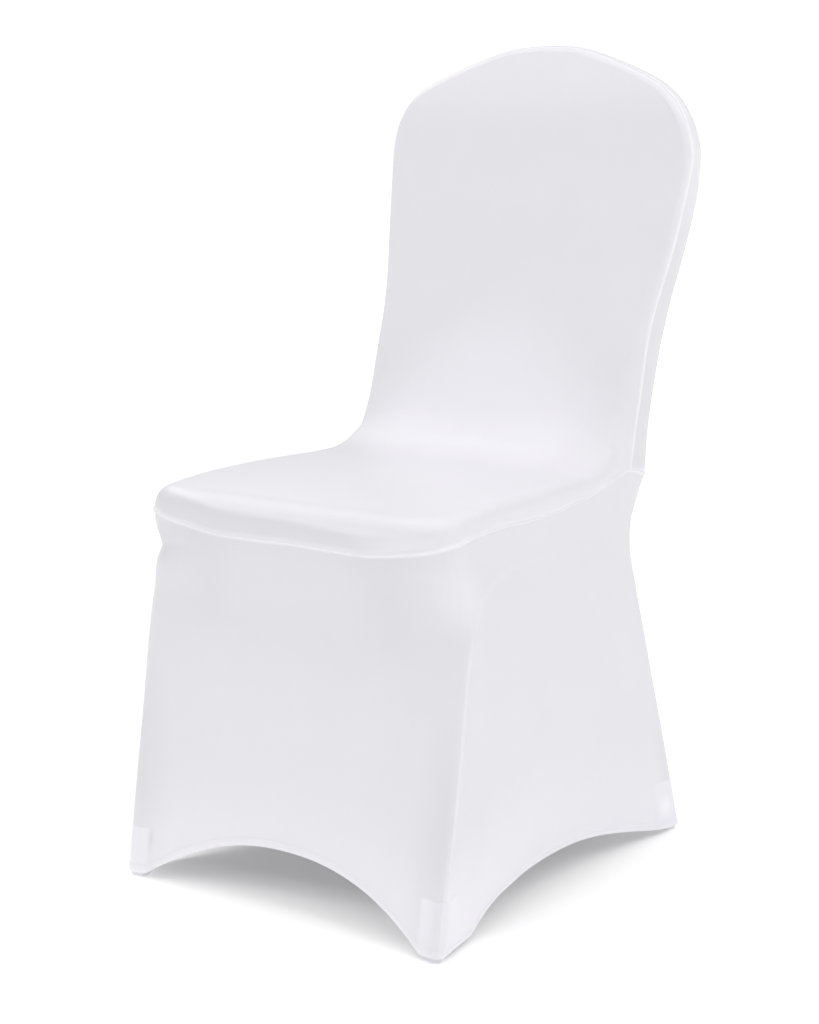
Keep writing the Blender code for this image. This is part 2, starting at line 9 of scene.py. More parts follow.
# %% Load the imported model
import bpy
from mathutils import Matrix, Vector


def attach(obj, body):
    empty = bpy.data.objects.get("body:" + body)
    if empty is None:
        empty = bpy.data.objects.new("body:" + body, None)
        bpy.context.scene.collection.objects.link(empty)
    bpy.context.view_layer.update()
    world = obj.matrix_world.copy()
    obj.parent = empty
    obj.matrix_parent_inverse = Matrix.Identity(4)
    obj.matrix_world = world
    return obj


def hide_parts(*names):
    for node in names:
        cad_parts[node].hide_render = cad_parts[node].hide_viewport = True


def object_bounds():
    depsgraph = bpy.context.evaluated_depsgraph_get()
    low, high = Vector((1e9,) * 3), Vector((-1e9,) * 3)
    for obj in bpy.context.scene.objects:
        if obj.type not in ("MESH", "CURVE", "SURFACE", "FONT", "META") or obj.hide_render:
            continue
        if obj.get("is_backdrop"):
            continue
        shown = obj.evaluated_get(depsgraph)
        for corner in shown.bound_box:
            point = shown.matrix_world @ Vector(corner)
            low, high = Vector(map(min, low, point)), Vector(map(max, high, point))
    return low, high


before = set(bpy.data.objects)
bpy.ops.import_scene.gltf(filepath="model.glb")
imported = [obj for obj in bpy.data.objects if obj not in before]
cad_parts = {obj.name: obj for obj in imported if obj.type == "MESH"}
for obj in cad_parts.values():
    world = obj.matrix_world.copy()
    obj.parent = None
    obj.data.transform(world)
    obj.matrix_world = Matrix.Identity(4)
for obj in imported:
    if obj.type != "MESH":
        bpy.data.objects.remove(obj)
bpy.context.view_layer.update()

# %% Tools
import math

import bpy
import numpy as np
from mathutils import Matrix, Vector

# %% [markdown]
# ## The pattern
# A stretch cover has no shape of its own: it takes the chair's. So its pattern is a few tables of where the
# cloth is held and how far it sags in between. The skirt's and the ring seam's come first, and each panel's own
# come with it. Points could be moved by hand, but tables with named rows are easier to tune.

# %% Tables of the skirt and the ring seam
CENTRE_Y = -0.02255     # the tables are written round the seat, and this centres the whole cover
CLOTH = 0.0020          # thickness of the stretch cloth
# the skirt by share of its height, 0 floor and 1 ring seam: _x and _y place a corner, _r rounds it, and _in is
# how far a side is drawn in between its corners
SKIRT = {
    "level":    [0.000, 0.250, 0.500, 0.720, 0.810, 0.880, 0.940, 1.000],
    "front_x":  [0.2155, 0.2160, 0.2163, 0.2162, 0.2150, 0.2095, 0.2045, 0.2030],
    "front_y":  [-0.243, -0.229, -0.2132, -0.1985, -0.1912, -0.1970, -0.2080, -0.2125],
    "rear_x":   [0.196, 0.1922, 0.1883, 0.1843, 0.1823, 0.1808, 0.1800, 0.1790],
    "rear_y":   [0.289, 0.2560, 0.2195, 0.1917, 0.1830, 0.1870, 0.2025, 0.2210],
    "front_r":  [0.011, 0.011, 0.011, 0.011, 0.014, 0.022, 0.030, 0.034],
    "rear_r":   [0.011, 0.011, 0.011, 0.014, 0.018, 0.022, 0.024, 0.024],
    "front_in": [0.022, 0.012, -0.001, -0.014, -0.018, -0.014, -0.005, 0.000],
    "side_in":  [0.022, 0.015, 0.009, 0.006, 0.005, 0.003, 0.001, 0.000],
    "rear_in":  [0.024, 0.013, 0.003, -0.006, -0.008, -0.006, -0.002, 0.000],
}
# places on half of the ring: 0 front centre, 1 to 2 front corner, 3 hip, 4 to 5 rear corner, 6 rear centre
HIP_SHARE = 0.920       # how far along the side the hip lies
SEAM_HEIGHT = {
    "place":  [0.00, 0.55, 0.80, 1.00, 2.00, 2.18, 2.30, 2.45, 2.60, 2.75, 2.87, 3.00, 4.00, 5.00, 6.00],
    "height": [0.3965, 0.3950, 0.3995, 0.4050, 0.4190, 0.4230, 0.4222, 0.4226, 0.4268, 0.4325, 0.4400,
               0.4495, 0.4430, 0.4340, 0.4310],
}
HEM_FOOT = 0.005
# hem arches: rise, share of the half side where it ends, and power of the curve
ARCH_FRONT, ARCH_REAR = (0.0600, 0.920, 2.18), (0.0580, 0.900, 2.0)
ARCH_SIDE = {           # steep at the front foot, slow towards the rear one
    "share": [0.000, 0.115, 0.177, 0.230, 0.283, 0.390, 0.490, 0.550, 0.600, 0.655, 0.710, 0.760, 0.815,
              0.867, 0.920, 0.980, 1.000],
    "rise":  [0.0, 0.0, 0.0130, 0.0214, 0.0260, 0.0326, 0.0345, 0.0340, 0.0328, 0.0300, 0.0259, 0.0212,
              0.0155, 0.0095, 0.0038, 0.0, 0.0],
}

# %% [markdown]
# ## Curves
# Cloth under tension has no kinks, so every curve here is eased: a monotone curve through the table's rows,
# which never overshoots them, is averaged over a short window. A subdivision surface could smooth the mesh
# instead, but it would also pull the seams away from their places.

# %% Curves through given rows

def through(xs, ys, x):
    """Smooth curve through table rows that never overshoots them."""
    xs, ys = np.asarray(xs, float), np.asarray(ys, float)
    h = np.diff(xs)
    d = np.diff(ys) / h
    m = np.zeros(len(xs))
    for i in range(1, len(xs) - 1):
        if d[i - 1] * d[i] > 0:
            a, b = 2 * h[i] + h[i - 1], h[i] + 2 * h[i - 1]
            m[i] = (a + b) / (a / d[i - 1] + b / d[i])
    m[0], m[-1] = d[0], d[-1]
    x = np.clip(np.asarray(x, float), xs[0], xs[-1])
    i = np.clip(np.searchsorted(xs, x) - 1, 0, len(h) - 1)
    t = (x - xs[i]) / h[i]
    return ((2 * t**3 - 3 * t**2 + 1) * ys[i] + (t**3 - 2 * t**2 + t) * h[i] * m[i]
            + (-2 * t**3 + 3 * t**2) * ys[i + 1] + (t**3 - t**2) * h[i] * m[i + 1])


def spline(points, n=24):
    """Dense smooth line through a few points."""
    P = np.asarray(points, float)
    P = np.vstack([2 * P[0] - P[1], P, 2 * P[-1] - P[-2]])
    out = []
    for i in range(1, len(P) - 2):
        t = np.linspace(0, 1, n, endpoint=False)[:, None]
        a, b, c, d = P[i - 1], P[i], P[i + 1], P[i + 2]
        la, lb, lc = (np.linalg.norm(v) ** 0.5 for v in (b - a, c - b, d - c))
        mb = ((b - a) / la**2 * lb + (c - b) / lb**2 * la) / (la + lb) * lb**2
        mc = ((c - b) / lb**2 * lc + (d - c) / lc**2 * lb) / (lb + lc) * lb**2
        ends = (2 * t**3 - 3 * t**2 + 1) * b + (-2 * t**3 + 3 * t**2) * c
        out.append(ends + (t**3 - 2 * t**2 + t) * mb + (t**3 - t**2) * mc)
    return np.vstack(out + [P[-2][None]])


# %% Easing by a moving average

def window(reach):
    """Weights of a moving average that reaches so many samples each way."""
    w = np.hanning(2 * reach + 3)[1:-1]
    return w / w.sum()


def average(rows, reach):
    """Moving average of evenly spaced rows. The ends stay where they are."""
    before, after = 2 * rows[0] - rows[reach:0:-1], 2 * rows[-1] - rows[-2:-reach - 2:-1]
    padded = np.concatenate([before, rows, after])
    return np.stack([np.convolve(c, window(reach), "valid") for c in padded.reshape(len(padded), -1).T],
                    -1).reshape(rows.shape)


def eased(table, key, x, rows=401, reach=20):
    """One column of a table as an eased curve."""
    xs = next(iter(table.values()))
    grid = np.linspace(xs[0], xs[-1], rows)
    return np.interp(x, grid, average(through(xs, table[key], grid), reach))


# %% Distances along a line

def lengths(line):
    """Distance of each point of a line from its start."""
    return np.concatenate([[0.0], np.cumsum(np.linalg.norm(np.diff(line, axis=0), axis=1))])


def read_at(at, d, rows):
    """Rows that are known at distances d, read at other distances."""
    return np.stack([np.interp(at, d, c) for c in rows.T], -1)


def soften(line, radius, step=0.001):
    """A line resampled evenly, with its bends eased over the radius."""
    d = lengths(line)
    even = np.linspace(0, 1, int(d[-1] / step) + 1) * d[-1]
    return average(read_at(even, d, line), int(radius / step))


def ease_along(rows, s, radius, step=0.001):
    """Rows at distances s along a line, eased over the radius. The ends stay where they are."""
    even = np.linspace(s[0], s[-1], int((s[-1] - s[0]) / step) + 1)
    return read_at(s, even, average(read_at(even, s, rows), int(radius / step)))


def bend(a, corner, b, t):
    """A rounded corner from a to b."""
    return (1 - t) ** 2 * a + 2 * t * (1 - t) * corner + t * t * b


# %% Directions, halves and soft masks

def unit(v):
    return v / np.maximum(np.linalg.norm(v, axis=-1, keepdims=True), 1e-12)


def turned_left(t):
    return np.column_stack([-t[:, 1], t[:, 0]])


MIRROR = np.array([-1.0, 1.0, 1.0])


def mirrored(rows):
    """Rows on the other side: x of points and pattern points changes sign, plain numbers stay."""
    return rows if rows.ndim == 1 or rows.shape[-1] == 1 else rows * MIRROR[:rows.shape[-1]]


def whole_ring(half):
    """The closed ring from its right half."""
    return np.concatenate([half, mirrored(half[1:-1])[::-1]])


def both_halves(half, corner=None):
    """A whole edge from its right half. With a corner it is closed and starts at the left bottom corner."""
    if corner is None:
        return np.concatenate([half, mirrored(half[:-1])[::-1]])
    return np.concatenate([mirrored(half[:corner + 1])[::-1], half[1:], mirrored(half[corner + 1:-1])[::-1]])


def fade_in(x, start, width):
    """0 up to the start, 1 from a width further on, and a soft step between."""
    x = np.clip((x - start) / width, 0.0, 1.0)
    return x * x * (3 - 2 * x)


def fade_out(x, start, width):
    return 1 - fade_in(x, start, width)


def bell(x, middle, width):
    return np.exp(-((x - middle) / width) ** 2)


# %% [markdown]
# ## The ring
# All three pieces of cloth meet in one ring seam under the seat. The skirt is a stack of level cuts of the same
# ring, from that seam down to the floor: corners with a round nose, sides that sag a little between them. The
# columns of the mesh are the same places on every cut, and they are closer together at the front corners and
# at the hip, where the three pieces meet and the seams need fine cells. A loft between two curves would be
# shorter, but its sides could not sag.

# %% Places on the ring
ROLL_FINE = np.array([0.0, 0.0003, 0.0008, 0.0014, 0.0020, 0.0027, 0.0036, 0.0050, 0.0070])
FRONT, NOSE, SIDE, HIP_CELLS, REAR_NOSE, REAR = 40, 20, 52, 20, 10, 40      # columns in each stretch
DENSE = np.concatenate([np.linspace(k, k + 1, n, endpoint=False)
                        for k, n in enumerate([160, 80, 300, 60, 80, 160])] + [[6.0]])
CUT_EASE, HEM_EASE, SEAM_EASE = 0.007, 0.006, 0.014


def split_place(place):
    """The stretch that a place lies on, how far along it, and how far along the whole side."""
    k = np.minimum(place.astype(int), 5)
    t = place - k
    return k, t, np.where(k == 2, HIP_SHARE * t, HIP_SHARE + (1 - HIP_SHARE) * t)


def ring_plan(level, place):
    """Plan positions of places of the half ring at one level."""
    r = {key: float(eased(SKIRT, key, level)) for key in SKIRT if key != "level"}
    front, rear = np.array([r["front_x"], r["front_y"]]), np.array([r["rear_x"], r["rear_y"]])
    back = unit(rear - front)
    a, b = front - [r["front_r"], 0], front + back * r["front_r"]
    c, d = rear - back * r["rear_r"], rear - [r["rear_r"], 0]
    k, t, s = split_place(place)
    t, s = t[:, None], s[:, None]
    side = b + (c - b) * s - np.array([r["side_in"], 0]) * (1 - (2 * s - 1) ** 2)
    return np.choose(np.repeat(k[:, None], 2, 1), [
        np.hstack([a[0] * t, a[1] + r["front_in"] * (1 - t * t)]), bend(a, front, b, t), side, side,
        bend(c, rear, d, t), np.hstack([d[0] * (1 - t), d[1] - r["rear_in"] * (1 - (1 - t) ** 2)])])


# %% Easing round the ring, and the hem's arches

def ease_ring(rows, s, at, radius, step=0.0015):
    """Rows of the half ring at distances s from the front centre, eased all round, read at other distances."""
    total = 2 * s[-1]
    count, reach = int(total / step), int(radius / step)
    even = np.arange(count) * total / count
    out = []
    for c in whole_ring(rows).T:
        row = np.interp(even, np.concatenate([s, total - s[-2:0:-1]]), c, period=total)
        row = np.convolve(np.concatenate([row[-reach:], row, row[:reach]]), window(reach), "valid")
        out.append(np.interp(at, even, row, period=total))
    return np.stack(out, -1)


def hem_rise(place):
    k, t, s = split_place(place)
    front, rear = (high * np.maximum(0, 1 - (u / end) ** power)
                   for u, (high, end, power) in ((t, ARCH_FRONT), (1 - t, ARCH_REAR)))
    side = through(ARCH_SIDE["share"], ARCH_SIDE["rise"], s)
    return np.choose(k, [front, 0 * t, side, side, 0 * t, rear])


# %% The mesh's columns and level cuts
seam_s = lengths(ring_plan(1.0, DENSE))
hip_s, nose_s = np.interp([3.0, 4.5], DENSE, seam_s)
hip_steps = np.concatenate([ROLL_FINE[1:], np.linspace(ROLL_FINE[-1], nose_s - hip_s,
                                                       HIP_CELLS - len(ROLL_FINE) + 2)[1:]])
PLACES = np.concatenate([
    np.linspace(0, 1, FRONT, endpoint=False), np.linspace(1, 2, NOSE, endpoint=False),
    np.linspace(2, 3, SIDE, endpoint=False), [3.0], np.interp(hip_s + hip_steps, seam_s, DENSE),
    np.linspace(4.5, 5, REAR_NOSE, endpoint=False)[1:], np.linspace(5, 6, REAR + 1)])
CORNER_COL, HIP_COL, COLS = FRONT + NOSE // 2, FRONT + NOSE + SIDE, len(PLACES)
REAR_COL = HIP_COL + HIP_CELLS


def on_columns(rows, s, radius):
    return ease_ring(rows, s, np.interp(PLACES, DENSE, s), radius)


LEVELS = np.linspace(0, 1, 201)
plans = [ring_plan(level, DENSE) for level in LEVELS]
CUTS = np.array([on_columns(plan, lengths(plan), CUT_EASE) for plan in plans])
CUTS[:, [0, -1], 0] = 0.0
RUN = np.array([lengths(cut) for cut in CUTS])       # distance along each cut from the front centre
HEM = HEM_FOOT + on_columns(hem_rise(DENSE)[:, None], lengths(plans[0]), HEM_EASE)[:, 0]
seam_rows = through(SEAM_HEIGHT["place"], SEAM_HEIGHT["height"], DENSE)[:, None]
SEAM_Z = on_columns(seam_rows, seam_s, SEAM_EASE)[:, 0]
RING_SEAM = np.column_stack([CUTS[-1], SEAM_Z])
print("columns", COLS, "ring", round(2 * seam_s[-1], 3), "m; seam height", SEAM_Z.min().round(4),
      SEAM_Z.max().round(4))

# %% [markdown]
# ## The seam round the back
# From the hip the seam climbs the side of the back and runs over the crown. It is drawn as one line, eased,
# and cut into cells that get smaller towards the hip and the shoulder. At both seams two directions are kept:
# square to the cloth, and along the cloth away from the seam. The pieces on either side share them, so their
# cut edges stay parallel. Edges that are drawn apart would have to be matched by hand.

# %% Tables of the back seam
BACK_SEAM = {
    "z": [0.4495, 0.470, 0.500, 0.530, 0.560, 0.590, 0.620, 0.650, 0.680, 0.710, 0.740, 0.770, 0.800],
    "x": [0.1795, 0.1820, 0.1838, 0.1850, 0.1854, 0.1857, 0.1876, 0.1917, 0.1966, 0.2009, 0.2042, 0.2072,
          0.2094],
    "y": [0.1645, 0.1675, 0.173, 0.179, 0.1845, 0.191, 0.1985, 0.2075, 0.216, 0.2235, 0.230, 0.2365,
          0.2425],
}
CROWN = [(0.2094, 0.800), (0.2053, 0.822), (0.1968, 0.844), (0.1846, 0.8625), (0.1680, 0.8772),
         (0.1315, 0.8955), (0.0840, 0.9135), (0.0440, 0.9245), (0.0, 0.9276)]
CROWN_FOOT, SHOULDER = 0.800, (0.1925, 0.8560)
CROWN_LEAN = {"z": [0.800, 0.843, 0.8735, 0.8925, 0.9105, 0.9290],
              "y": [0.2425, 0.2380, 0.2385, 0.2420, 0.2490, 0.2570]}
# relative lengths of the cells up the side of the back and over the crown
BACK_CELLS = [22, 28, 36, 42, 44, 44, 44, 42, 38, 30, 22, 18]
TOP_CELLS = [18, 22, 28, 32, 32, 32, 26, 20]

# %% The back seam
UP_CELLS, BACK_EASE, HIP_PULL, HIP_BLEND = 92, 0.016, 0.08, 0.010
z = np.linspace(BACK_SEAM["z"][0], CROWN_FOOT, 60)
rising = np.column_stack([through(BACK_SEAM["z"], BACK_SEAM["x"], z), z])
x, z = np.vstack([rising[:-1], spline(CROWN)]).T
low, high = (through(table["z"], table["y"], z) for table in (BACK_SEAM, CROWN_LEAN))
back_line = soften(both_halves(np.column_stack([x, np.where(z < CROWN_FOOT, low, high), z])), BACK_EASE)
back_line = back_line[:len(back_line) // 2 + 1]
back_line[-1, 0] = 0.0
pull = np.clip(1 - lengths(back_line) / HIP_PULL, 0, 1) ** 2
back_line = back_line + (RING_SEAM[HIP_COL] - back_line[0]) * pull[:, None]
shoulder = np.argmin(np.linalg.norm(back_line[:, [0, 2]] - SHOULDER, axis=1))


def cell_places(total, cells, count, fine):
    """Distances along a seam: fine steps first, then so many cells, spaced like the table's."""
    shares = np.interp(np.linspace(0, 1, count + 1), np.linspace(0, 1, len(cells) + 1),
                       np.concatenate([[0.0], np.cumsum(cells)]) / np.sum(cells))
    return np.concatenate([fine[:-1], fine[-1] + (total - fine[-1]) * shares])


d = lengths(back_line)
side_d = cell_places(d[shoulder], BACK_CELLS, UP_CELLS, ROLL_FINE)
top_d = d[shoulder] + cell_places(d[-1] - d[shoulder], TOP_CELLS, CORNER_COL, np.zeros(1))
UP_SEAM = read_at(np.concatenate([side_d, top_d[1:]]), d, back_line)
UP_SEAM[-1, 0] = 0.0
UP_S = lengths(UP_SEAM)
SHOULDER_AT = len(side_d) - 1
print("back seam", round(2 * UP_S[-1], 3), "m, top", UP_SEAM[-1].round(4))

# %% Directions at the seams
ring_run = unit(np.gradient(RING_SEAM, axis=0))
ring_run[0], ring_run[-1] = [1, 0, 0], [-1, 0, 0]
RING_OUT = unit(np.column_stack([ring_run[:, 1], -ring_run[:, 0], np.zeros(COLS)]))
RING_UP = unit(np.cross(ring_run, RING_OUT))
RING_UP *= np.sign(RING_UP[:, 2:3])
up_run = unit(np.gradient(UP_SEAM, axis=0))
up_run[-1] = [-1, 0, 0]
forward = np.array([0, -1.0, 0.12])
UP_FORWARD = unit(forward - up_run * (up_run @ forward)[:, None])
UP_OUT = unit(np.cross(up_run, UP_FORWARD))
UP_OUT *= np.sign(UP_OUT[:, 0:1] + 2 * UP_OUT[:, 2:3])
hip_out = unit(RING_OUT[HIP_COL] + UP_OUT[0])
near_hip = bell(RUN[-1], RUN[-1, HIP_COL], HIP_BLEND)[:, None]
RING_OUT = unit(RING_OUT * (1 - near_hip) + hip_out * near_hip)
near_hip = bell(UP_S, 0, HIP_BLEND)[:, None]
UP_OUT = unit(UP_OUT * (1 - near_hip) + hip_out * near_hip)

# %% [markdown]
# ## What stands proud of the cloth
# At a seam the two edges are turned inside and overlocked, and the turned cloth lifts the face into a soft
# round ridge. The hem is folded up once and is twice as thick. Both are low forms of a known width, so each is
# a small profile by distance from the edge, and the mesh has fine rows there. A bump map would look the same
# from far away, but the ridges catch the light along the outline too.

# %% Ridge and hem profiles
RIDGE_HIGH, RIDGE_WIDE = 0.0018, 0.0034
RIDGE_DIP, DIP_WIDE = 0.00004, 0.0004
HEM_WIDE, HEM_HIGH, HEM_STEP, EDGE_ROUND, EDGE_CLOSE = 0.0080, 0.00045, 0.0012, 0.0010, 0.0001
SEAM_GAP = 0.00003
# a seam is whiter where the cloth lies three deep, with a painted highlight along its ridge
SEAM_LAYERS_AND_HIGHLIGHT, WHITE_WIDE = 1.5, 0.0046
# the ridge is high where the cloth is pulled over the seat's edge, and lower round the rear
RING_RIDGE = through([0.0, 2.9, 3.25, 4.0, 6.0], [1.0, 1.0, 0.45, 0.30, 0.30], PLACES)


def hump(d, wide):
    """Half a wave: 1 at the seam, 0 at the given distance from it."""
    return np.cos(np.clip(d / wide, 0, 1) * np.pi / 2)


def ridge(d):
    """Lift of the face at distance d from a seam."""
    return RIDGE_HIGH * hump(d, RIDGE_WIDE) ** 1.5 - RIDGE_DIP * fade_out(d, 0, DIP_WIDE)


def hem_band(d):
    """Lift of the face at distance d from the hem's edge."""
    return HEM_HIGH * fade_out(d, HEM_WIDE, HEM_STEP)


def seam_layers_and_highlight(d):
    """How much whiter the cloth is at distance d from a seam: it lies three deep there, and a painted highlight runs
    along the ridge.
    """
    return SEAM_LAYERS_AND_HIGHLIGHT * hump(d, WHITE_WIDE) ** 2


def edge_turn(d):
    """How far both faces turn in at the hem's rounded edge."""
    x = np.clip(1 - d / EDGE_ROUND, 0, 1)
    return (CLOTH / 2 - EDGE_CLOSE) * (1 - np.sqrt(1 - x * x))


# %% [markdown]
# ## A sheet of cloth
# Every cloth piece is made the same way: a grid of quads for its outer face, moved along its normals by the
# forms above, a second face behind it, and a strip that closes the cut edge. Blender's Solidify would do the
# same, but here the edges of two joined pieces must follow one shared direction, so the step is written out.
# The sheet also carries facts for the materials: where each point lies on the flat pattern, in metres, where
# the cloth is thin or doubled, and where painted shade and painted light lie on it.

# %% Quads, normals and open edges
INSIDE_OUT = [0, 3, 2, 1]       # a quad's corners in the other order


def quads(numbers, round_rows=False, round_cols=False):
    """Quads between neighbours of a grid of point numbers, closed round its rows or its columns."""
    rows, cols = numbers.shape
    j, i = np.meshgrid(np.arange(rows - (not round_rows)), np.arange(cols - (not round_cols)), indexing="ij")
    j2, i2 = (j + 1) % rows, (i + 1) % cols
    return np.stack([numbers[j, i], numbers[j, i2], numbers[j2, i2], numbers[j2, i]], -1).reshape(-1, 4)


def numbered(rows, cols, start=0):
    return start + np.arange(rows * cols).reshape(rows, cols)


def point_normals(points, faces):
    p = points[faces]
    n = np.cross(p[:, 2] - p[:, 0], p[:, 3] - p[:, 1])
    out = np.zeros_like(points)
    for k in range(4):
        np.add.at(out, faces[:, k], n)
    return unit(out)


def open_edges(faces):
    """Edges that only one face uses, in the order in which that face runs."""
    e = np.concatenate([faces[:, [k, (k + 1) % 4]] for k in range(4)])
    key = np.sort(e, axis=1)
    _, first, count = np.unique(key[:, 0] * (key.max() + 1) + key[:, 1], return_index=True, return_counts=True)
    return e[first[count == 1]]


# %% The left front corner
# on the left the cover stands a little off the seat's front corner, and is drawn in again just below it
CORNER_AT, CORNER_WIDE, CORNER_HIGH, CORNER_OFF = np.array([-0.198, -0.204, 0.404]), 0.038, 0.019, 0.0048
NOTCH_IN, NOTCH_DOWN, NOTCH_ABOVE, NOTCH_BELOW = 0.0028, 0.034, 0.011, 0.024
OFF_WAY = np.array([-0.78, -0.62, 0.0])


def off_corner(points):
    x, y, z = (points - CORNER_AT).T
    notch_high = np.where(z > -NOTCH_DOWN, NOTCH_ABOVE, NOTCH_BELOW)
    move = CORNER_OFF * bell(z, 0, CORNER_HIGH) - NOTCH_IN * bell(z, -NOTCH_DOWN, notch_high)
    return points + (bell(np.hypot(x, y), 0, CORNER_WIDE) * move)[:, None] * OFF_WAY


# %% One piece

def make_mesh(name, points, faces, facts, material, node=None):
    """One piece of the cover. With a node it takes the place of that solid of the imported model."""
    mesh = bpy.data.meshes.new(name)
    points = off_corner(points) + [0, CENTRE_Y, 0]
    mesh.from_pydata(points.tolist(), [], [[int(v) for v in face] for face in faces])
    mesh.validate()
    mesh.shade_smooth()
    for key, values in facts.items():
        vector = np.ndim(values) == 2
        layer = mesh.attributes.new(key, "FLOAT_VECTOR" if vector else "FLOAT", "POINT")
        layer.data.foreach_set("vector" if vector else "value", np.asarray(values, np.float32).ravel())
    mesh.materials.append(material)
    piece = bpy.data.objects.new(name, mesh)
    bpy.context.scene.collection.objects.link(piece)
    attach(piece, "root")
    if node:
        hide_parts(node)
    print(name, len(mesh.vertices), "points,", sum(len(p.vertices) - 2 for p in mesh.polygons), "triangles")
    return piece


# %% One sheet

def make_sheet(name, points, faces, lift, turn, edge_out, facts, material, node):
    """A closed sheet from its outer face. lift moves the face out, turn brings both faces together, and
    edge_out gives the shared direction of the cut edge, point by point."""
    n = point_normals(points, faces)
    if n[np.argmax(points[:, 0])][0] < 0:
        faces, n = faces[:, ::-1], -n
    edge, shared = list(edge_out), np.array(list(edge_out.values()))
    n[edge] = shared
    face = points + n * (lift - turn)[:, None]
    n2 = point_normals(face, faces)
    n2[edge] = shared
    back = points + n * np.minimum(lift, HEM_HIGH)[:, None] * 0.3 - n2 * (CLOTH - turn)[:, None]
    rim, size = open_edges(faces), len(points)
    strip = np.column_stack([rim[:, 1], rim[:, 0], rim[:, 0] + size, rim[:, 1] + size])
    both = {key: np.concatenate([v, v]) for key, v in facts.items()}
    return make_mesh(name, np.vstack([face, back]), np.vstack([faces, faces[:, ::-1] + size, strip]), both,
                     material, node=node)


# %% [markdown]
# ## Materials: the knit
# Spandex knit is fine: about fifteen ribs to the centimetre, each a column of tiny loops. From a chair's
# distance nobody sees a loop, but the loops break up the light, which is why the cloth looks soft and has no
# hard shine. The knit is a node group that draws ribs and loops from the flat pattern's coordinates, so the
# ribs follow each piece and not the world. Its height goes to a Bump node, and its shade varies the colour by
# a few parts in a hundred.

# %% Node helpers

def new_group(name, inputs, outputs):
    group = bpy.data.node_groups.new(name, "ShaderNodeTree")
    for label, kind, value in inputs:
        socket = group.interface.new_socket(label, in_out="INPUT", socket_type=kind)
        if value is not None:
            socket.default_value = value
    for label, kind in outputs:
        group.interface.new_socket(label, in_out="OUTPUT", socket_type=kind)
    return group, group.nodes.new("NodeGroupInput").outputs, group.nodes.new("NodeGroupOutput").inputs


def put(tree, kind, *wires, out=0, **settings):
    """Adds a node, wires or sets its inputs in order, and returns one of its outputs."""
    node = tree.nodes.new(kind)
    for key, value in settings.items():
        setattr(node, key, value)
    for slot, wire in enumerate(wires):
        if isinstance(wire, bpy.types.NodeSocket):
            tree.links.new(wire, node.inputs[slot])
        elif wire is not None:
            node.inputs[slot].default_value = wire
    return node.outputs[out]


def maths(tree, operation, *wires):
    return put(tree, "ShaderNodeMath", *wires, operation=operation)


def ramp(tree, value, low, high, to_low=0.0, to_high=1.0):
    return put(tree, "ShaderNodeMapRange", value, low, high, to_low, to_high, interpolation_type="SMOOTHSTEP")


def grey(tree, value):
    return put(tree, "ShaderNodeCombineColor", value, value, value)


def place_at(tree):
    """The piece's own coordinates."""
    return put(tree, "ShaderNodeTexCoord", out=3)


# %% The knit group
RIB_LEAN, LOOPS_PER_RIB, RIB_FLOOR, MOTTLE = 0.9, 0.8, 0.4, 0.02
knit, take, give = new_group(
    "stretch_knit",
    [("Pattern", "NodeSocketVector", None), ("Ribs per metre", "NodeSocketFloat", 1500.0),
     ("Mottle", "NodeSocketFloat", MOTTLE)],
    [("Height", "NodeSocketFloat"), ("Shade", "NodeSocketFloat")])


def wave(turn):
    """A cosine between 0 and 1."""
    return maths(knit, "MULTIPLY_ADD", maths(knit, "COSINE", turn), 0.5, 0.5)


parts = put(knit, "ShaderNodeSeparateXYZ", take["Pattern"]).node.outputs
across, along_rib = (maths(knit, "MULTIPLY", part, take["Ribs per metre"]) for part in (parts[0], parts[1]))
rib_turn = maths(knit, "MULTIPLY", across, 2 * math.pi)
lean = maths(knit, "MULTIPLY", maths(knit, "SINE", rib_turn), RIB_LEAN)
loop_turn = maths(knit, "ADD", maths(knit, "MULTIPLY", along_rib, 2 * math.pi * LOOPS_PER_RIB), lean)
loops = maths(knit, "MULTIPLY_ADD", wave(loop_turn), 1 - RIB_FLOOR, RIB_FLOOR)
knit.links.new(maths(knit, "MULTIPLY", wave(rib_turn), loops), give["Height"])
soft, fine = (maths(knit, "SUBTRACT", put(knit, "ShaderNodeTexNoise", take["Pattern"], None, scale, 2.0, rough), 0.5)
              for scale, rough in ((14.0, 0.5), (420.0, 0.6)))
mix = maths(knit, "ADD", soft, fine)
knit.links.new(maths(knit, "MULTIPLY_ADD", mix, take["Mottle"], 1.0), give["Shade"])

# %% [markdown]
# ## Materials: thin and doubled cloth, painted shade and painted light
# White knit is not quite opaque. It turns a little greyer where it is thin, beside the corners, and whiter where
# it is doubled, at the hem and over the foot cups. The same two masks also carry painted shade, greyer towards
# the seat, up the back and in creases, and painted light, whiter where the cloth faces the lamps. A second group
# turns the masks into the colour. Cloth that lets light through would look the same here and render more slowly.
# The constants of the finish, such as roughness and sheen, are set on each material's own shader.

# %% The tone group
# greyer for thin cloth and painted shade, whiter for doubled cloth and painted light, and the hem's doubled band
THIN_AND_SHADE_GREY, DOUBLED_AND_LIGHT_WHITE, HEM_WHITE = 0.055, 0.085, 0.5
tone, take, give = new_group(
    "cloth_tone",
    [("Cloth", "NodeSocketColor", (0.86, 0.86, 0.89, 1)), ("Shade", "NodeSocketFloat", 1.0),
     ("Thin and shade", "NodeSocketFloat", 0.0), ("Doubled and light", "NodeSocketFloat", 0.0)],
    [("Color", "NodeSocketColor")])
darker = maths(tone, "MULTIPLY_ADD", take["Thin and shade"], -THIN_AND_SHADE_GREY, 1.0)
lighter = maths(tone, "MULTIPLY_ADD", take["Doubled and light"], DOUBLED_AND_LIGHT_WHITE, darker)
scaled = put(tone, "ShaderNodeVectorMath", take["Cloth"], operation="SCALE")
tone.links.new(maths(tone, "MULTIPLY", lighter, take["Shade"]), scaled.node.inputs["Scale"])
tone.links.new(scaled, give["Color"])

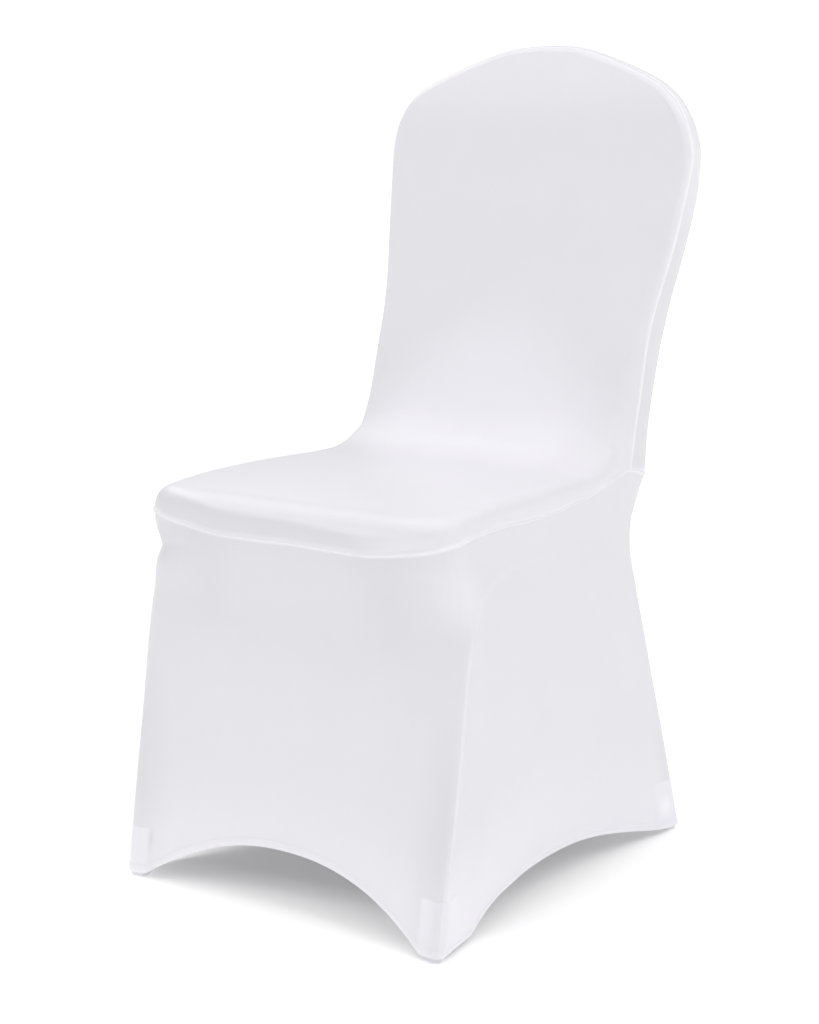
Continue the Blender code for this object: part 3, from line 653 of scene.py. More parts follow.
# %% Cloth materials
BUMP, BUMP_DEPTH, SHEEN_ROUGH, SPECULAR = 0.25, 0.0002, 0.4, 0.4


def new_material(name):
    m = bpy.data.materials.new(name)
    m.use_nodes = True
    return m, m.node_tree, next(x for x in m.node_tree.nodes if x.type == "BSDF_PRINCIPLED").inputs


def fact(tree, name):
    return put(tree, "ShaderNodeAttribute", attribute_name=name, out=2)


def cloth_material(name, colour, roughness=0.42, sheen=0.15, ribs=1500.0, toned=True, hemmed=False):
    """A knit material. toned reads the masks for thin cloth with painted shade and for doubled cloth with painted
    light, hemmed adds the hem's doubled band.
    """
    m, tree, shader = new_material(name)
    cloth, paint = (tree.nodes.new("ShaderNodeGroup") for _ in range(2))
    cloth.node_tree, paint.node_tree = knit, tone
    tree.links.new(put(tree, "ShaderNodeAttribute", attribute_name="pattern", out=1), cloth.inputs["Pattern"])
    cloth.inputs["Ribs per metre"].default_value = ribs
    cloth.inputs["Mottle"].default_value = MOTTLE
    paint.inputs["Cloth"].default_value = (*colour, 1.0)
    tree.links.new(cloth.outputs["Shade"], paint.inputs["Shade"])
    if toned:
        doubled_and_light = fact(tree, "doubled_and_light")
        if hemmed:
            band = ramp(tree, fact(tree, "hem"), HEM_WIDE - 0.0002, HEM_WIDE + 0.0008, 1.0, 0.0)
            doubled_and_light = maths(tree, "MULTIPLY_ADD", band, HEM_WHITE, doubled_and_light)
        tree.links.new(fact(tree, "thin_and_shade"), paint.inputs["Thin and shade"])
        tree.links.new(doubled_and_light, paint.inputs["Doubled and light"])
    tree.links.new(paint.outputs["Color"], shader["Base Color"])
    normal = put(tree, "ShaderNodeBump").node
    normal.inputs["Strength"].default_value = BUMP
    normal.inputs["Distance"].default_value = BUMP_DEPTH
    tree.links.new(cloth.outputs["Height"], normal.inputs["Height"])
    tree.links.new(normal.outputs["Normal"], shader["Normal"])
    shader["Roughness"].default_value = roughness
    shader["Sheen Weight"].default_value = sheen
    shader["Sheen Roughness"].default_value = SHEEN_ROUGH
    shader["Specular IOR Level"].default_value = SPECULAR
    m.diffuse_color = (*colour, 1.0)
    return m


WHITE = (0.80, 0.79, 0.83)
panel_knit = cloth_material("white_stretch_knit", WHITE)
skirt_knit = cloth_material("white_skirt_knit", WHITE, hemmed=True)
cup_knit = cloth_material("doubled_cup_knit", (0.84, 0.83, 0.87), 0.72, 0.10, 1300.0, toned=False)
# the turned fold is whiter than the cloth: three layers of cloth, with a painted highlight along the seam
fold_knit = cloth_material("turned_seam_knit", (0.93, 0.92, 0.95), toned=False)
print("knit materials", [m.name for m in (panel_knit, skirt_knit, cup_knit, fold_knit)])

# %% [markdown]
# ## The skirt
# The skirt is one band of knit all round. Under the ring seam it falls straight off the seat, then it is drawn
# out and down to the four feet, so each side is a soft saddle with an arched hem. It is built column by column
# from the level cuts, with fine rows at the hem, at the step over the cups and at the seam. A cloth simulation
# could find such a form too, but cuts can be fitted, and give the same mesh each time.

# %% Rows of the skirt
CUP_TOP = {"front_right": 0.0620, "front_left": 0.0565, "rear_right": 0.0665, "rear_left": 0.0665}
LEDGE_ABOVE, LEDGE_EASE = 0.030, 0.004      # away from the cups the step's rows run this far above the hem
MIDDLE_ROWS, LOW_ROWS = 74, 9
HEM_ROWS = np.array([0, 0.0002, 0.0005, 0.0010, 0.0020, 0.0035, 0.0050, 0.0065, 0.0078, 0.0084, 0.0090,
                     0.0110, 0.0140])
STEP_ROWS = np.array([-0.0015, -0.0007, 0.0, 0.0007, 0.0015])
SEAM_ROWS = np.array([0.0075, 0.0055, 0.0040, 0.0030, 0.0022, 0.0015, 0.0009, 0.0004, 0.0])


def skirt_half(front_top, rear_top):
    """Right half of the skirt: points, and by point the height above the hem, the distance below the seam,
    the distances round the ring from the two corner lines, and the height of the cup's top."""
    cup_top = front_top + (rear_top - front_top) * fade_in(PLACES, 2, 1)
    ledge = HEM + np.logaddexp(LEDGE_ABOVE / LEDGE_EASE, (cup_top - HEM) / LEDGE_EASE) * LEDGE_EASE
    ledge = np.where(HEM - HEM_FOOT < 0.004, cup_top, ledge)
    top = SEAM_Z - SEAM_GAP / 2
    z = np.array([np.concatenate([
        hem + HEM_ROWS, np.linspace(hem + HEM_ROWS[-1], step + STEP_ROWS[0], LOW_ROWS)[1:-1], step + STEP_ROWS,
        np.linspace(step + STEP_ROWS[-1], seam - SEAM_ROWS[0], MIDDLE_ROWS + 1)[1:-1], seam - SEAM_ROWS])
        for hem, step, seam in zip(HEM, ledge, top)])
    facts = [np.column_stack([CUTS[:, i], RUN[:, i] - RUN[:, CORNER_COL], RUN[:, i] - RUN[:, REAR_COL]])
             for i in range(COLS)]
    x, y, front_d, rear_d = np.moveaxis([read_at(z[i] / SEAM_Z[i], LEVELS, facts[i]) for i in range(COLS)], -1, 0)
    return (np.stack([x, y, z], -1), z - HEM[:, None], SEAM_Z[:, None] - z, front_d, rear_d,
            np.repeat(cup_top[:, None], z.shape[1], 1))


# %% Both halves of the skirt
right = skirt_half(CUP_TOP["front_right"], CUP_TOP["rear_right"])
left = skirt_half(CUP_TOP["front_left"], CUP_TOP["rear_left"])
left = (left[0] * MIRROR, *left[1:])
skirt_grid, above_hem, below_seam, front_d, rear_d, cup_top = (
    np.concatenate([r, l[-2:0:-1]]) for r, l in zip(right, left))
ring_cols, ring_rows = skirt_grid.shape[:2]
side_x, side_y, side_z = np.abs(skirt_grid[..., 0]), skirt_grid[..., 1], skirt_grid[..., 2]
on_left, on_face, on_flank = skirt_grid[..., 0] < 0, front_d < 0, front_d > 0
print("skirt grid", ring_cols, "x", ring_rows)

# %% [markdown]
# ### Prints on the skirt
# What the skirt is stretched over shows as low lifts of its face: a narrow ridge along each corner, a soft
# knee where a leg's top presses, an arch on each side, and a crease at the front corners where the cloth folds
# under the seat. Each is a short rule by distance, from a corner line or from a line drawn in side or front
# view. They are low, and fade out at both ends like the print of anything round under tight cloth. They could
# be sculpted, but a rule is moved by one number.

# %% Lines of the prints
CORNER_RIDGE, RIDGE_SIGMA, RIDGE_FADE = 0.0019, 0.0018, 0.07
KNEE_LIFT, KNEE_Z, KNEE_FRONT, KNEE_SIDE, KNEE_ABOVE, KNEE_BELOW = 0.0050, 0.3500, 0.026, 0.015, 0.020, 0.034
# arch on the side, (y, z), from the corner ridge up and back, and crease on the front, (x, z)
SIDE_ARCH = [(-0.1890, 0.3200), (-0.1863, 0.3356), (-0.1700, 0.3557), (-0.1364, 0.3728), (-0.0929, 0.3814),
             (-0.0300, 0.3838), (0.0346, 0.3815), (0.1145, 0.3743), (0.1413, 0.3629), (0.1642, 0.3441)]
CREASE = [(0.2050, 0.3660), (0.1945, 0.3682), (0.1712, 0.3755), (0.1340, 0.3765), (0.1150, 0.3755)]
ARCH_PRINT, ARCH_STEP, CREASE_DEEP, PRINT_WIDE = 0.0008, 0.0020, 0.0012, 0.0035
CUP_STEP, CUP_REACH, REAR_REACH, CUP_EDGE = 0.00035, 0.0285, 0.0440, 0.0004


def distance_to(line, u, v):
    """Distance of points (u, v) from a line, which side of it they lie on, and how far along it they are."""
    line = soften(np.asarray(line, float), 0.012)
    line = line[::max(1, len(line) // 90)]
    best, side, share = np.full(u.shape, 1e9), np.zeros(u.shape), np.zeros(u.shape)
    for k, (a, b) in enumerate(zip(line, line[1:])):
        e = b - a
        t = np.clip(((u - a[0]) * e[0] + (v - a[1]) * e[1]) / (e @ e), 0, 1)
        du, dv = u - a[0] - t * e[0], v - a[1] - t * e[1]
        d = np.hypot(du, dv)
        near = d < best
        best = np.where(near, d, best)
        side = np.where(near, np.sign(e[0] * dv - e[1] * du), side)
        share = np.where(near, (k + t) / (len(line) - 1), share)
    return best, side, share


# %% Lift of the prints
# the ridge lies a little round the corner on the side, and further down it lies further round
from_line = front_d - 0.0020 - 0.0034 * fade_out(side_z, 0.17, 0.12)
print_lift = np.zeros(side_x.shape)
for d, top_z, high in ((from_line, 0.350, CORNER_RIDGE), (rear_d, 0.330, CORNER_RIDGE * 0.7)):
    print_lift += high * bell(d, 0, RIDGE_SIGMA) * fade_out(side_z, top_z - RIDGE_FADE, RIDGE_FADE)
d, side, share = distance_to(SIDE_ARCH, side_y, side_z)
on_arch = fade_in(front_d, 0.002, 0.004) * (rear_d < 0.02) * fade_in(share, 0, 0.10) * fade_out(share, 0.82, 0.18)
print_lift += on_arch * ARCH_PRINT * bell(d, 0, PRINT_WIDE)
print_lift -= on_arch * ARCH_STEP * (side < 0) * fade_in(d, 0, 0.010) * bell(d, 0, 0.045)
knee_wide, knee_high = np.where(on_face, KNEE_FRONT, KNEE_SIDE), np.where(side_z > KNEE_Z, KNEE_ABOVE, KNEE_BELOW)
print_lift += KNEE_LIFT * bell(front_d, 0, knee_wide) * bell(side_z, KNEE_Z, knee_high)
d, side, share = distance_to(CREASE, side_x, side_z)
on_crease = (front_d < 0.012) * fade_in(share, -0.02, 0.05) * fade_out(share, 0.5, 0.5)
print_lift -= on_crease * CREASE_DEEP * bell(d, 0, PRINT_WIDE)
near_front, near_rear = (fade_out(np.abs(d), reach - CUP_EDGE, 2 * CUP_EDGE) for d, reach in (
    (front_d, CUP_REACH), (rear_d, np.where(rear_d < 0, REAR_REACH, CUP_REACH))))
in_cup = np.maximum(near_front, near_rear) * fade_out(side_z, cup_top - 0.0006, 0.0012)
print_lift += CUP_STEP * in_cup
print("prints", (print_lift.min() * 1000).round(2), "to", (print_lift.max() * 1000).round(2), "mm")

# %% [markdown]
# ### Thin and doubled cloth, painted shade and painted light on the skirt
# The same distances say where the knit is greyer: in a soft band beside each corner line, where it is thin over
# the corner and painted shade falls beside it, and as painted shade towards the seat, under the front corners and
# in a level band across each side. It is whiter over the cups and at the hem, where it is doubled, with painted
# light on the cups, painted highlights along the ridges and on the knee, and painted light towards the hem, where
# the flared cloth faces up. It could be painted on, but rules keep to the mesh when a table changes. fade_in and
# fade_out take a distance, where the step starts, and its width.

# %% Bands, painted highlights on the ridges, and painted light towards the hem
ridge_d = -from_line
# greyer beside each corner line, where the cloth is thin over the corner and painted shade falls beside the front
# ones, and painted shade in a level band across each side
band_front = fade_in(ridge_d, 0.0015, 0.002) * fade_out(ridge_d, 0.010, 0.050) * fade_out(side_z, 0.16, 0.16)
band_rear = fade_in(-rear_d, 0.002, 0.004) * fade_out(-rear_d, 0.012, 0.020) * fade_out(side_z, 0.065, 0.10)
band_side = 0.22 * bell(side_z, 0.2945, 0.0095) * fade_in(front_d, 0.012, 0.03) * fade_in(-rear_d, 0.006, 0.03)
thin_and_shade = np.maximum.reduce([band_front, band_rear, band_side]) * (1 - in_cup)
# painted highlight along the corner ridges, where the cloth is pulled over the edge
ridge_highlight = (0.8 * bell(from_line, 0, 0.0020) * fade_out(side_z, 0.30, 0.05)
               + 0.25 * bell(rear_d, 0, 0.0022) * fade_out(side_z, 0.28, 0.05))
# painted light towards the hem, where the flared cloth faces up, more on the flank and near the front foot
near_foot = bell(front_d, 0, 0.15)
light_near_hem = np.where(on_flank, 0.90 + 0.90 * near_foot, 0.45 + 0.45 * near_foot) * (1 - in_cup)
light_near_hem *= fade_out(above_hem, 0.004, np.where(on_flank, 0.140, 0.105))
# painted highlight where the knee presses out, on the right
knee_highlight = np.where(on_left, 0.0, 0.6) * bell(front_d, 0.004, 0.026) * bell(side_z, 0.362, 0.028)

# %% Painted shade, and white cups
# painted shade towards the seat, deepest in a soft wedge under each front corner, where the left one is drawn in, and
# in a fold beside the left front cup
upper_shade = np.where(front_d > 0.005, 0.50, 0.80) * fade_in(side_z, 0.15, 0.22) * (1 - knee_highlight)
wedge_wide = 0.016 + 0.034 * np.clip((side_z - 0.28) / 0.11, 0, 1)
shade_wedge = bell(side_x, 0.122, wedge_wide) * fade_in(side_z, 0.27, 0.09) * on_face
notch_shade = on_left * bell(front_d, 0, 0.045) * bell(side_z, 0.372, 0.026)
tuck = on_left * bell(front_d, -0.0305, 0.0026) * bell(side_z, 0.044, 0.011)
thin_and_shade = np.maximum(thin_and_shade, upper_shade) + 0.75 * shade_wedge + 1.7 * notch_shade + 2.2 * tuck
# the cups are whiter where the cloth is doubled, with painted light that differs from cup to cup and a painted
# highlight low on each rear cup
front_cup = np.where(on_flank, 0.7 + 0.9 * fade_in(front_d, 0, 0.012), 0.2 + 0.9 * fade_in(-front_d, 0, 0.022))
cup_doubled_and_light = np.where(near_rear > near_front, 0.9, np.where(on_left, 1.0, front_cup))
cup_doubled_and_light += 1.2 * bell(rear_d, -0.022, 0.013) * bell(side_z, 0.034, 0.013)
doubled_and_light = np.maximum.reduce([seam_layers_and_highlight(below_seam), cup_doubled_and_light * in_cup, ridge_highlight, light_near_hem, knee_highlight])

# %% Skirt cloth
lift = ridge(below_seam) * whole_ring(RING_RIDGE)[:, None] + hem_band(above_hem)
lift += print_lift * fade_in(below_seam, 0, 0.01)
ring_s = np.repeat(whole_ring(RUN[len(RUN) // 2])[:, None], ring_rows, 1)
facts = {"pattern": np.stack([ring_s, side_z, 0 * side_z], -1).reshape(-1, 3), "thin_and_shade": thin_and_shade.ravel(),
         "hem": above_hem.ravel(), "doubled_and_light": doubled_and_light.ravel()}
seam_points = numbered(ring_cols, ring_rows)[:, -1]
skirt_cloth = make_sheet("skirt_cloth", skirt_grid.reshape(-1, 3),
                         quads(numbered(ring_cols, ring_rows), round_rows=True)[:, INSIDE_OUT], lift.ravel(),
                         edge_turn(above_hem).ravel(), dict(zip(seam_points.tolist(), whole_ring(RING_OUT))), facts,
                         skirt_knit, "skirt")

# %% [markdown]
# ## Panels laid over a form
# The other two pieces lie on a form: a centre line in side view, raised or sunk a little in the middle, with a
# rolled edge that turns down to the seam. The flat of the panel is a patch of quads on the flat pattern, laid
# over the line. The roll is a squared quarter curve from the flat's edge to the seam, cut into rows that get
# finer towards the seam, where the ridge is. A grid straight from seam to seam would be simpler, but it has no
# even edge to roll.

# %% The centre line
LINE_EASE, TURN_REACH, ROLL_POINTS = 0.018, 0.030, 97


class CentreLine:
    """A centre line in the YZ plane, laid out flat: distance p along it, its points and its normals."""

    def __init__(self, rows, side):
        self.points = soften(spline(rows), LINE_EASE)
        self.p = lengths(self.points)
        self.normal = side * turned_left(unit(np.gradient(self.points, axis=0)))

    def at(self, p):
        return read_at(p, self.p, self.points), unit(read_at(p, self.p, self.normal))

    def foot(self, q):
        """Distance along the line of the point nearest to q."""
        a, e = self.points[:-1], np.diff(self.points, axis=0)
        t = np.clip(((q[1:] - a) * e).sum(1) / (e * e).sum(1), 0, 1)
        k = int(np.argmin(((a + e * t[:, None] - q[1:]) ** 2).sum(1)))
        return self.p[k] + t[k] * (self.p[k + 1] - self.p[k])


# %% The flat of a panel

def lay(line, rise, half_width, pattern):
    """Points of the panel over flat pattern points (x, p)."""
    x = pattern[..., 0]
    yz, n = line.at(pattern[..., 1])
    lift = eased(rise, "rise", yz[..., 1]) * (1 - np.clip(x / half_width, -1, 1) ** 2)
    return np.concatenate([x[..., None], yz + n * lift[..., None]], -1)


def form_normals(line, rise, half_width, pattern, e=0.0005):
    across, up = (lay(line, rise, half_width, pattern + way) - lay(line, rise, half_width, pattern - way)
                  for way in (np.array([e, 0]), np.array([0, e])))
    n = unit(np.cross(across, up))
    side = line.at(pattern[..., 1])[1]
    return n * np.sign(n[..., 1] * side[..., 0] + n[..., 2] * side[..., 1])[..., None]


def patch(bottom, right, top, left):
    """Grid inside four edge curves that share corners; rows run from bottom to top."""
    u = (lengths(bottom) / lengths(bottom)[-1])[None, :, None]
    v = (lengths(right) / lengths(right)[-1])[:, None, None]
    ruled = (1 - v) * bottom[None] + v * top[None] + (1 - u) * left[:, None] + u * right[:, None]
    return ruled - ((1 - u) * (1 - v) * bottom[0] + u * (1 - v) * bottom[-1] + (1 - u) * v * top[0]
                    + u * v * top[-1])


# %% Outline and plate

def flat_outline(line, roll, half):
    """The flat's edge on the pattern, a roll's width inside the seam, its inward direction and squareness."""
    seam = np.column_stack([half[:, 0], [line.foot(q) for q in half]])
    s = lengths(half)
    width = eased(roll, "width", s / s[-1])
    inward = turned_left(unit(ease_along(unit(np.gradient(seam, axis=0)), s, TURN_REACH)))
    inset = seam + inward * width[:, None]
    inset[-1] = [0.0, seam[-1, 1] - width[-1]]
    if half[0, 0] == 0.0:
        inset[0] = [0.0, seam[0, 1] + width[0]]
    return inset, inward, eased(roll, "square", s / s[-1])


def plate(line, rise, bottom_half, right_edge, top_half):
    """Flat of a panel: its pattern, points and normals. The halves run out from the centre line."""
    bottom, top = (np.vstack([mirrored(half)[::-1], half[1:]]) for half in (bottom_half, top_half))
    pattern = patch(bottom, right_edge, top, mirrored(right_edge))
    half_width = np.repeat(np.abs(pattern[..., 0]).max(axis=1)[:, None], pattern.shape[1], axis=1)
    return pattern, lay(line, rise, half_width, pattern), form_normals(line, rise, half_width, pattern)


# %% The rolled edge

def roll_layers(flat, n, seam, square, count):
    """The rolled edge from the flat's edge to the seam, layer by layer, each layer's distance from the seam,
    and the whole roll's length."""
    d = seam - flat
    drop = -np.sum(d * n, -1, keepdims=True)
    power = (2 / square)[:, None, None]
    a = (np.linspace(0, 1, ROLL_POINTS) * np.pi / 2)[None, :, None]
    curves = (flat[:, None] + (d + drop * n)[:, None] * np.sin(a) ** power
              - n[:, None] * drop[:, None] * (1 - np.cos(a) ** power))
    runs = [lengths(curve) for curve in curves]
    total = np.array([run[-1] for run in runs])
    coarse = np.linspace(1, 0, count - len(ROLL_FINE) + 2)[1:-1]
    from_seam = [ROLL_FINE[-1] + (total - ROLL_FINE[-1]) * share for share in coarse]
    from_seam += [ROLL_FINE[k] + 0 * total for k in range(len(ROLL_FINE))][::-1]
    layers = [np.array([read_at(s, run, curve) for s, run, curve in zip(total - far, runs, curves)])
              for far in from_seam]
    return layers, from_seam, total


def pattern_of(pattern, loop, inward, from_seam, total):
    """Flat pattern points of the plate and of the rolled layers round it."""
    rows = pattern.reshape(-1, 2)
    flat = np.vstack([rows] + [rows[loop] - inward * (total - far)[:, None] for far in from_seam])
    return np.column_stack([flat, np.zeros(len(flat))])


# %% [markdown]
# ## The inner panel
# One piece of cloth makes the front of the back, the sweep into the seat, the seat and its front edge. Its
# seam runs round the seat's sides and front as the ring seam, and up round the crown as the back seam. Three
# surfaces would be easier to draw, but the real cloth has no seam at the sweep, so it is one grid.

# %% Tables of the inner panel
# the centre line in side view (y, z), how far the middle rises from it, and by share of the way along
# the seam how wide and how square the edge is rolled and how far the roll bulges
INNER_LINE = [(-0.240, 0.4300), (-0.200, 0.4390), (-0.150, 0.4465), (-0.080, 0.4508), (0.000, 0.4526),
              (0.055, 0.4538), (0.088, 0.4570), (0.112, 0.4680), (0.130, 0.4880), (0.1435, 0.5130),
              (0.1550, 0.5400), (0.1655, 0.5680), (0.1770, 0.5980), (0.1900, 0.6320), (0.2065, 0.6800),
              (0.2215, 0.7400), (0.2325, 0.8000), (0.2305, 0.8600), (0.2335, 0.9300), (0.2350, 0.9700)]
INNER_RISE = {"z": [0.430, 0.442, 0.4525, 0.470, 0.500, 0.540, 0.600, 0.740, 0.800, 0.860, 0.930],
              "rise": [-0.003, -0.002, 0.007, 0.016, 0.018, 0.013, 0.006, 0.000, -0.004, -0.011, -0.0145]}
INNER_ROLL = {"share": [0.00, 0.13, 0.19, 0.24, 0.31, 0.46, 0.52, 0.60, 0.75, 1.00],
              "width": [0.026, 0.027, 0.029, 0.025, 0.019, 0.020, 0.020, 0.009, 0.0055, 0.0055],
              "square": [2.5, 2.4, 2.2, 2.4, 2.6, 2.3, 2.0, 2.0, 2.0, 2.0]}
INNER_BULGE = {"share": [0.00, 0.12, 0.17, 0.21, 0.30, 0.42, 0.50, 1.00],
               "out": [0.0020, 0.0024, 0.0030, 0.0034, 0.0040, 0.0030, 0.0, 0.0]}

# %% Inner panel's form
INNER_ROWS, FAR_AWAY = 20, 0.1
line = CentreLine(INNER_LINE, 1)
half = np.vstack([RING_SEAM[:HIP_COL + 1], UP_SEAM[1:]])
away = np.vstack([RING_UP[:HIP_COL], unit(RING_UP[HIP_COL] + UP_FORWARD[0])[None], UP_FORWARD[1:]])
inset, inward, square = flat_outline(line, INNER_ROLL, half)
top_at = HIP_COL + SHOULDER_AT
pattern, points, normals = plate(line, INNER_RISE, inset[:CORNER_COL + 1], inset[CORNER_COL:top_at + 1],
                                 inset[top_at:][::-1])
rows, cols = points.shape[:2]
grid = numbered(rows, cols)
loop = np.concatenate([grid[0], grid[1:, -1], grid[-1, -2::-1], grid[-2:0:-1, 0]])
seam, square, inward, out, share = (both_halves(rim, CORNER_COL) for rim in (
    half + away * SEAM_GAP / 2, square, inward, np.vstack([RING_OUT[:HIP_COL + 1], UP_OUT[1:]]),
    lengths(half) / lengths(half)[-1]))
layers, from_seam, total = roll_layers(points.reshape(-1, 3)[loop], normals.reshape(-1, 3)[loop], seam, square,
                                       INNER_ROWS)
layers = [layer + out * (eased(INNER_BULGE, "out", share) * np.sin(np.pi * np.clip(far / total, 0, 1)))[:, None]
          for layer, far in zip(layers, from_seam)]
rims = np.vstack([loop, numbered(INNER_ROWS, len(loop), rows * cols)])
inner_points = np.vstack([points.reshape(-1, 3)] + layers)
far = np.concatenate([np.full(rows * cols, FAR_AWAY)] + from_seam)
print("inner panel", rows, "x", cols, "and", INNER_ROWS, "rows of roll")

# %% [markdown]
# ### Painted shade and painted light on the inner panel
# Painted shade makes the cloth greyer up the back and on the front face of the seat's rolled edge, and tones
# down a highlight along the seat's front brow. Painted light makes it whiter in a fan where the back sweeps into
# the seat and on the seat's top. The seam is whiter, where the cloth lies three deep, with a painted highlight.
# As on the skirt, these are rules by place and by distance from the seam.

# %% Inner cloth
x, y, z = inner_points.T
# painted shade up the back
upper_shade = (fade_in(z, 0.555 - 0.09 * (x / 0.16) ** 2, 0.10) * (1 - 0.75 * fade_in(z, 0.83, 0.07))) * (y > 0.10)
to_front = fade_out(y, -0.18, 0.05)
reach = 0.0320 - 0.009 * np.clip((x + 0.125) / 0.22, 0, 1)
# painted shade on the front face of the seat's rolled edge
apron = to_front * fade_out(far, reach - 0.006, 0.006) * fade_in(far, 0.003, 0.003) * fade_out(x, 0.07, 0.08)
# painted shade that tones down a highlight along the seat's front brow
brow = to_front * bell(y, -0.2035, 0.0065) * fade_in(far, 0.035, 0.004) * fade_out(x, 0.13, 0.05)
# painted light on the seat's top
top = fade_out(y, -0.12, 0.20) * fade_in(far, reach - 0.006, 0.007) * (1 - 0.5 * fade_in(x, -0.06, 0.20)) * (1 - brow)
# painted light in a fan where the back sweeps into the seat
fan_wide = 0.030 + 1.1 * np.clip(0.605 - z, 0, 1)
sweep_light = 0.20 * bell(x, 0, fan_wide) * fade_out(z, 0.52, 0.10) * fade_in(z, 0.462, 0.030)
sweep_light = (sweep_light + 0.75 * bell(z, 0.487, 0.026) * fade_out(np.abs(x), 0.10, 0.065)) * fade_in(y, 0, 0.08)
facts = {"pattern": pattern_of(pattern, loop, inward, from_seam, total),
         "thin_and_shade": np.maximum(upper_shade, 1.8 * apron) + 0.5 * brow,
         "doubled_and_light": np.maximum.reduce([seam_layers_and_highlight(far), sweep_light, 0.60 * top])}
inner_cloth = make_sheet("inner_cloth", inner_points,
                         np.vstack([quads(grid), quads(rims, round_cols=True)[:, INSIDE_OUT]]), ridge(far), 0 * far,
                         dict(zip(rims[-1].tolist(), out)), facts, panel_knit, "inner_panel")

# %% [markdown]
# ## The rear panel
# The outside of the back is a second piece. It bulges past the seam on both sides, which makes the narrow
# side band that shows beside the seam from the front, and its foot is drawn into the waist by the skirt. A
# copy of the inner panel, moved back, would be quicker, but it has neither.

# %% Tables of the rear panel
REAR_LINE = [(0.2190, 0.4000), (0.2185, 0.4310), (0.2170, 0.4650), (0.2190, 0.5000), (0.2240, 0.5300),
             (0.2320, 0.5600), (0.2405, 0.5900), (0.2478, 0.6200), (0.2532, 0.6500), (0.2600, 0.6800),
             (0.2670, 0.7100), (0.2740, 0.7400), (0.2762, 0.7700), (0.2725, 0.8000), (0.2590, 0.8600),
             (0.2580, 0.9400), (0.2590, 0.9700)]
REAR_RISE = {"z": [0.400, 0.600, 0.740, 0.800, 0.860, 0.930],
             "rise": [0.000, 0.003, 0.004, 0.008, 0.015, 0.019]}
REAR_ROLL = {"share": [0.0, 1.0], "width": [0.014, 0.014], "square": [2.3, 2.3]}
REAR_BULGE = {"share": [0.0, 0.10, 0.45, 0.65, 1.0], "out": [0.0, 0.0010, 0.0008, 0.0040, 0.0044]}

# %% Rear panel's form
WAIST_FADE, FOOT_CELLS, FOOT_EASE = 0.060, 40, 0.05
line = CentreLine(REAR_LINE, -1)
inset, inward, square = flat_outline(line, REAR_ROLL, UP_SEAM)
waist = RING_SEAM[REAR_COL:][::-1]
low = np.column_stack([waist[:, 0], [line.foot(q) for q in waist]])
near = UP_S[:FOOT_CELLS, None]
straight = low[-1] + (inset[FOOT_CELLS] - low[-1]) * near / UP_S[FOOT_CELLS]
share = fade_in(near, 0, FOOT_EASE)
inset[:FOOT_CELLS] = straight * (1 - share) + inset[:FOOT_CELLS] * share
pattern, points, normals = plate(line, REAR_RISE, low, inset[:SHOULDER_AT + 1], inset[SHOULDER_AT:][::-1])
rows, cols = points.shape[:2]
middle = cols // 2
waist_edge = RING_SEAM + RING_UP * SEAM_GAP / 2
lowest = waist_edge[REAR_COL:][::-1]
lowest = np.vstack([mirrored(lowest)[::-1], lowest[1:]])
above = points[:, middle, 2] - points[0, middle, 2]
points = points + (lowest - points[0])[None] * (np.clip(1 - above / WAIST_FADE, 0, 1) ** 2)[:, None, None]
grid = numbered(rows, cols)
loop = np.concatenate([grid[:, -1], grid[-1, -2::-1], grid[-2::-1, 0]])

# %% Rear panel's roll
seam = UP_SEAM - UP_FORWARD * SEAM_GAP / 2
seam[0] = UP_SEAM[0] + unit(RING_UP[HIP_COL] - UP_FORWARD[0]) * SEAM_GAP / 2
layers, from_seam, total = roll_layers(points.reshape(-1, 3)[loop], normals.reshape(-1, 3)[loop],
                                       both_halves(seam), both_halves(square), HIP_CELLS)
bulge, out, inward = (both_halves(rim) for rim in (eased(REAR_BULGE, "out", UP_S / UP_S[-1]), UP_OUT, inward))
fade = (np.clip(1 - (UP_SEAM[:, 2] - UP_SEAM[0, 2]) / WAIST_FADE, 0, 1) ** 2)[:SHOULDER_AT, None]
for m in range(HIP_CELLS):
    x = np.clip(from_seam[m] / total, 0, 1)
    layers[m] = layers[m] + out * (bulge * np.sin(np.pi * x ** 0.8) ** 0.8)[:, None]
    goal = waist_edge[REAR_COL - 1 - m]
    layers[m][:SHOULDER_AT] += (goal - layers[m][0]) * fade
    layers[m][:-SHOULDER_AT - 1:-1] += (goal * MIRROR - layers[m][-1]) * fade
rims = np.vstack([loop, numbered(HIP_CELLS, len(loop), rows * cols)])
rear_points = np.vstack([points.reshape(-1, 3)] + layers)
print("rear panel", rows, "x", cols, "and", HIP_CELLS, "rows of roll")

# %% Rear cloth


def up_both_sides(side):
    """Distances above the waist seam along the loop: up one side, far off over the crown, down the other."""
    return np.concatenate([side, np.full(len(loop) - 2 * len(side), 0.5), side[::-1]])


far_up = np.concatenate([np.repeat(lengths(inset[:SHOULDER_AT + 1]), cols)]
                        + [up_both_sides(UP_S[:SHOULDER_AT + 1])] * HIP_CELLS)
far_side = np.concatenate([np.full(rows * cols, FAR_AWAY)] + from_seam)
foot_col = COLS - 1 - np.minimum(np.abs(np.arange(cols) - middle), CORNER_COL)
hip_col = REAR_COL - 1 - np.arange(HIP_CELLS)
foot_ridge = np.concatenate([np.tile(RING_RIDGE[foot_col], rows), np.repeat(RING_RIDGE[hip_col], len(loop))])
edge_out = dict(zip(rims[-1].tolist(), out))
for i, k in enumerate(foot_col):
    edge_out[i] = RING_OUT[k] * (MIRROR if i < middle else 1)
for m, k in enumerate(hip_col[:-1]):
    edge_out[int(rims[m + 1, 0])] = RING_OUT[k]
    edge_out[int(rims[m + 1, -1])] = RING_OUT[k] * MIRROR
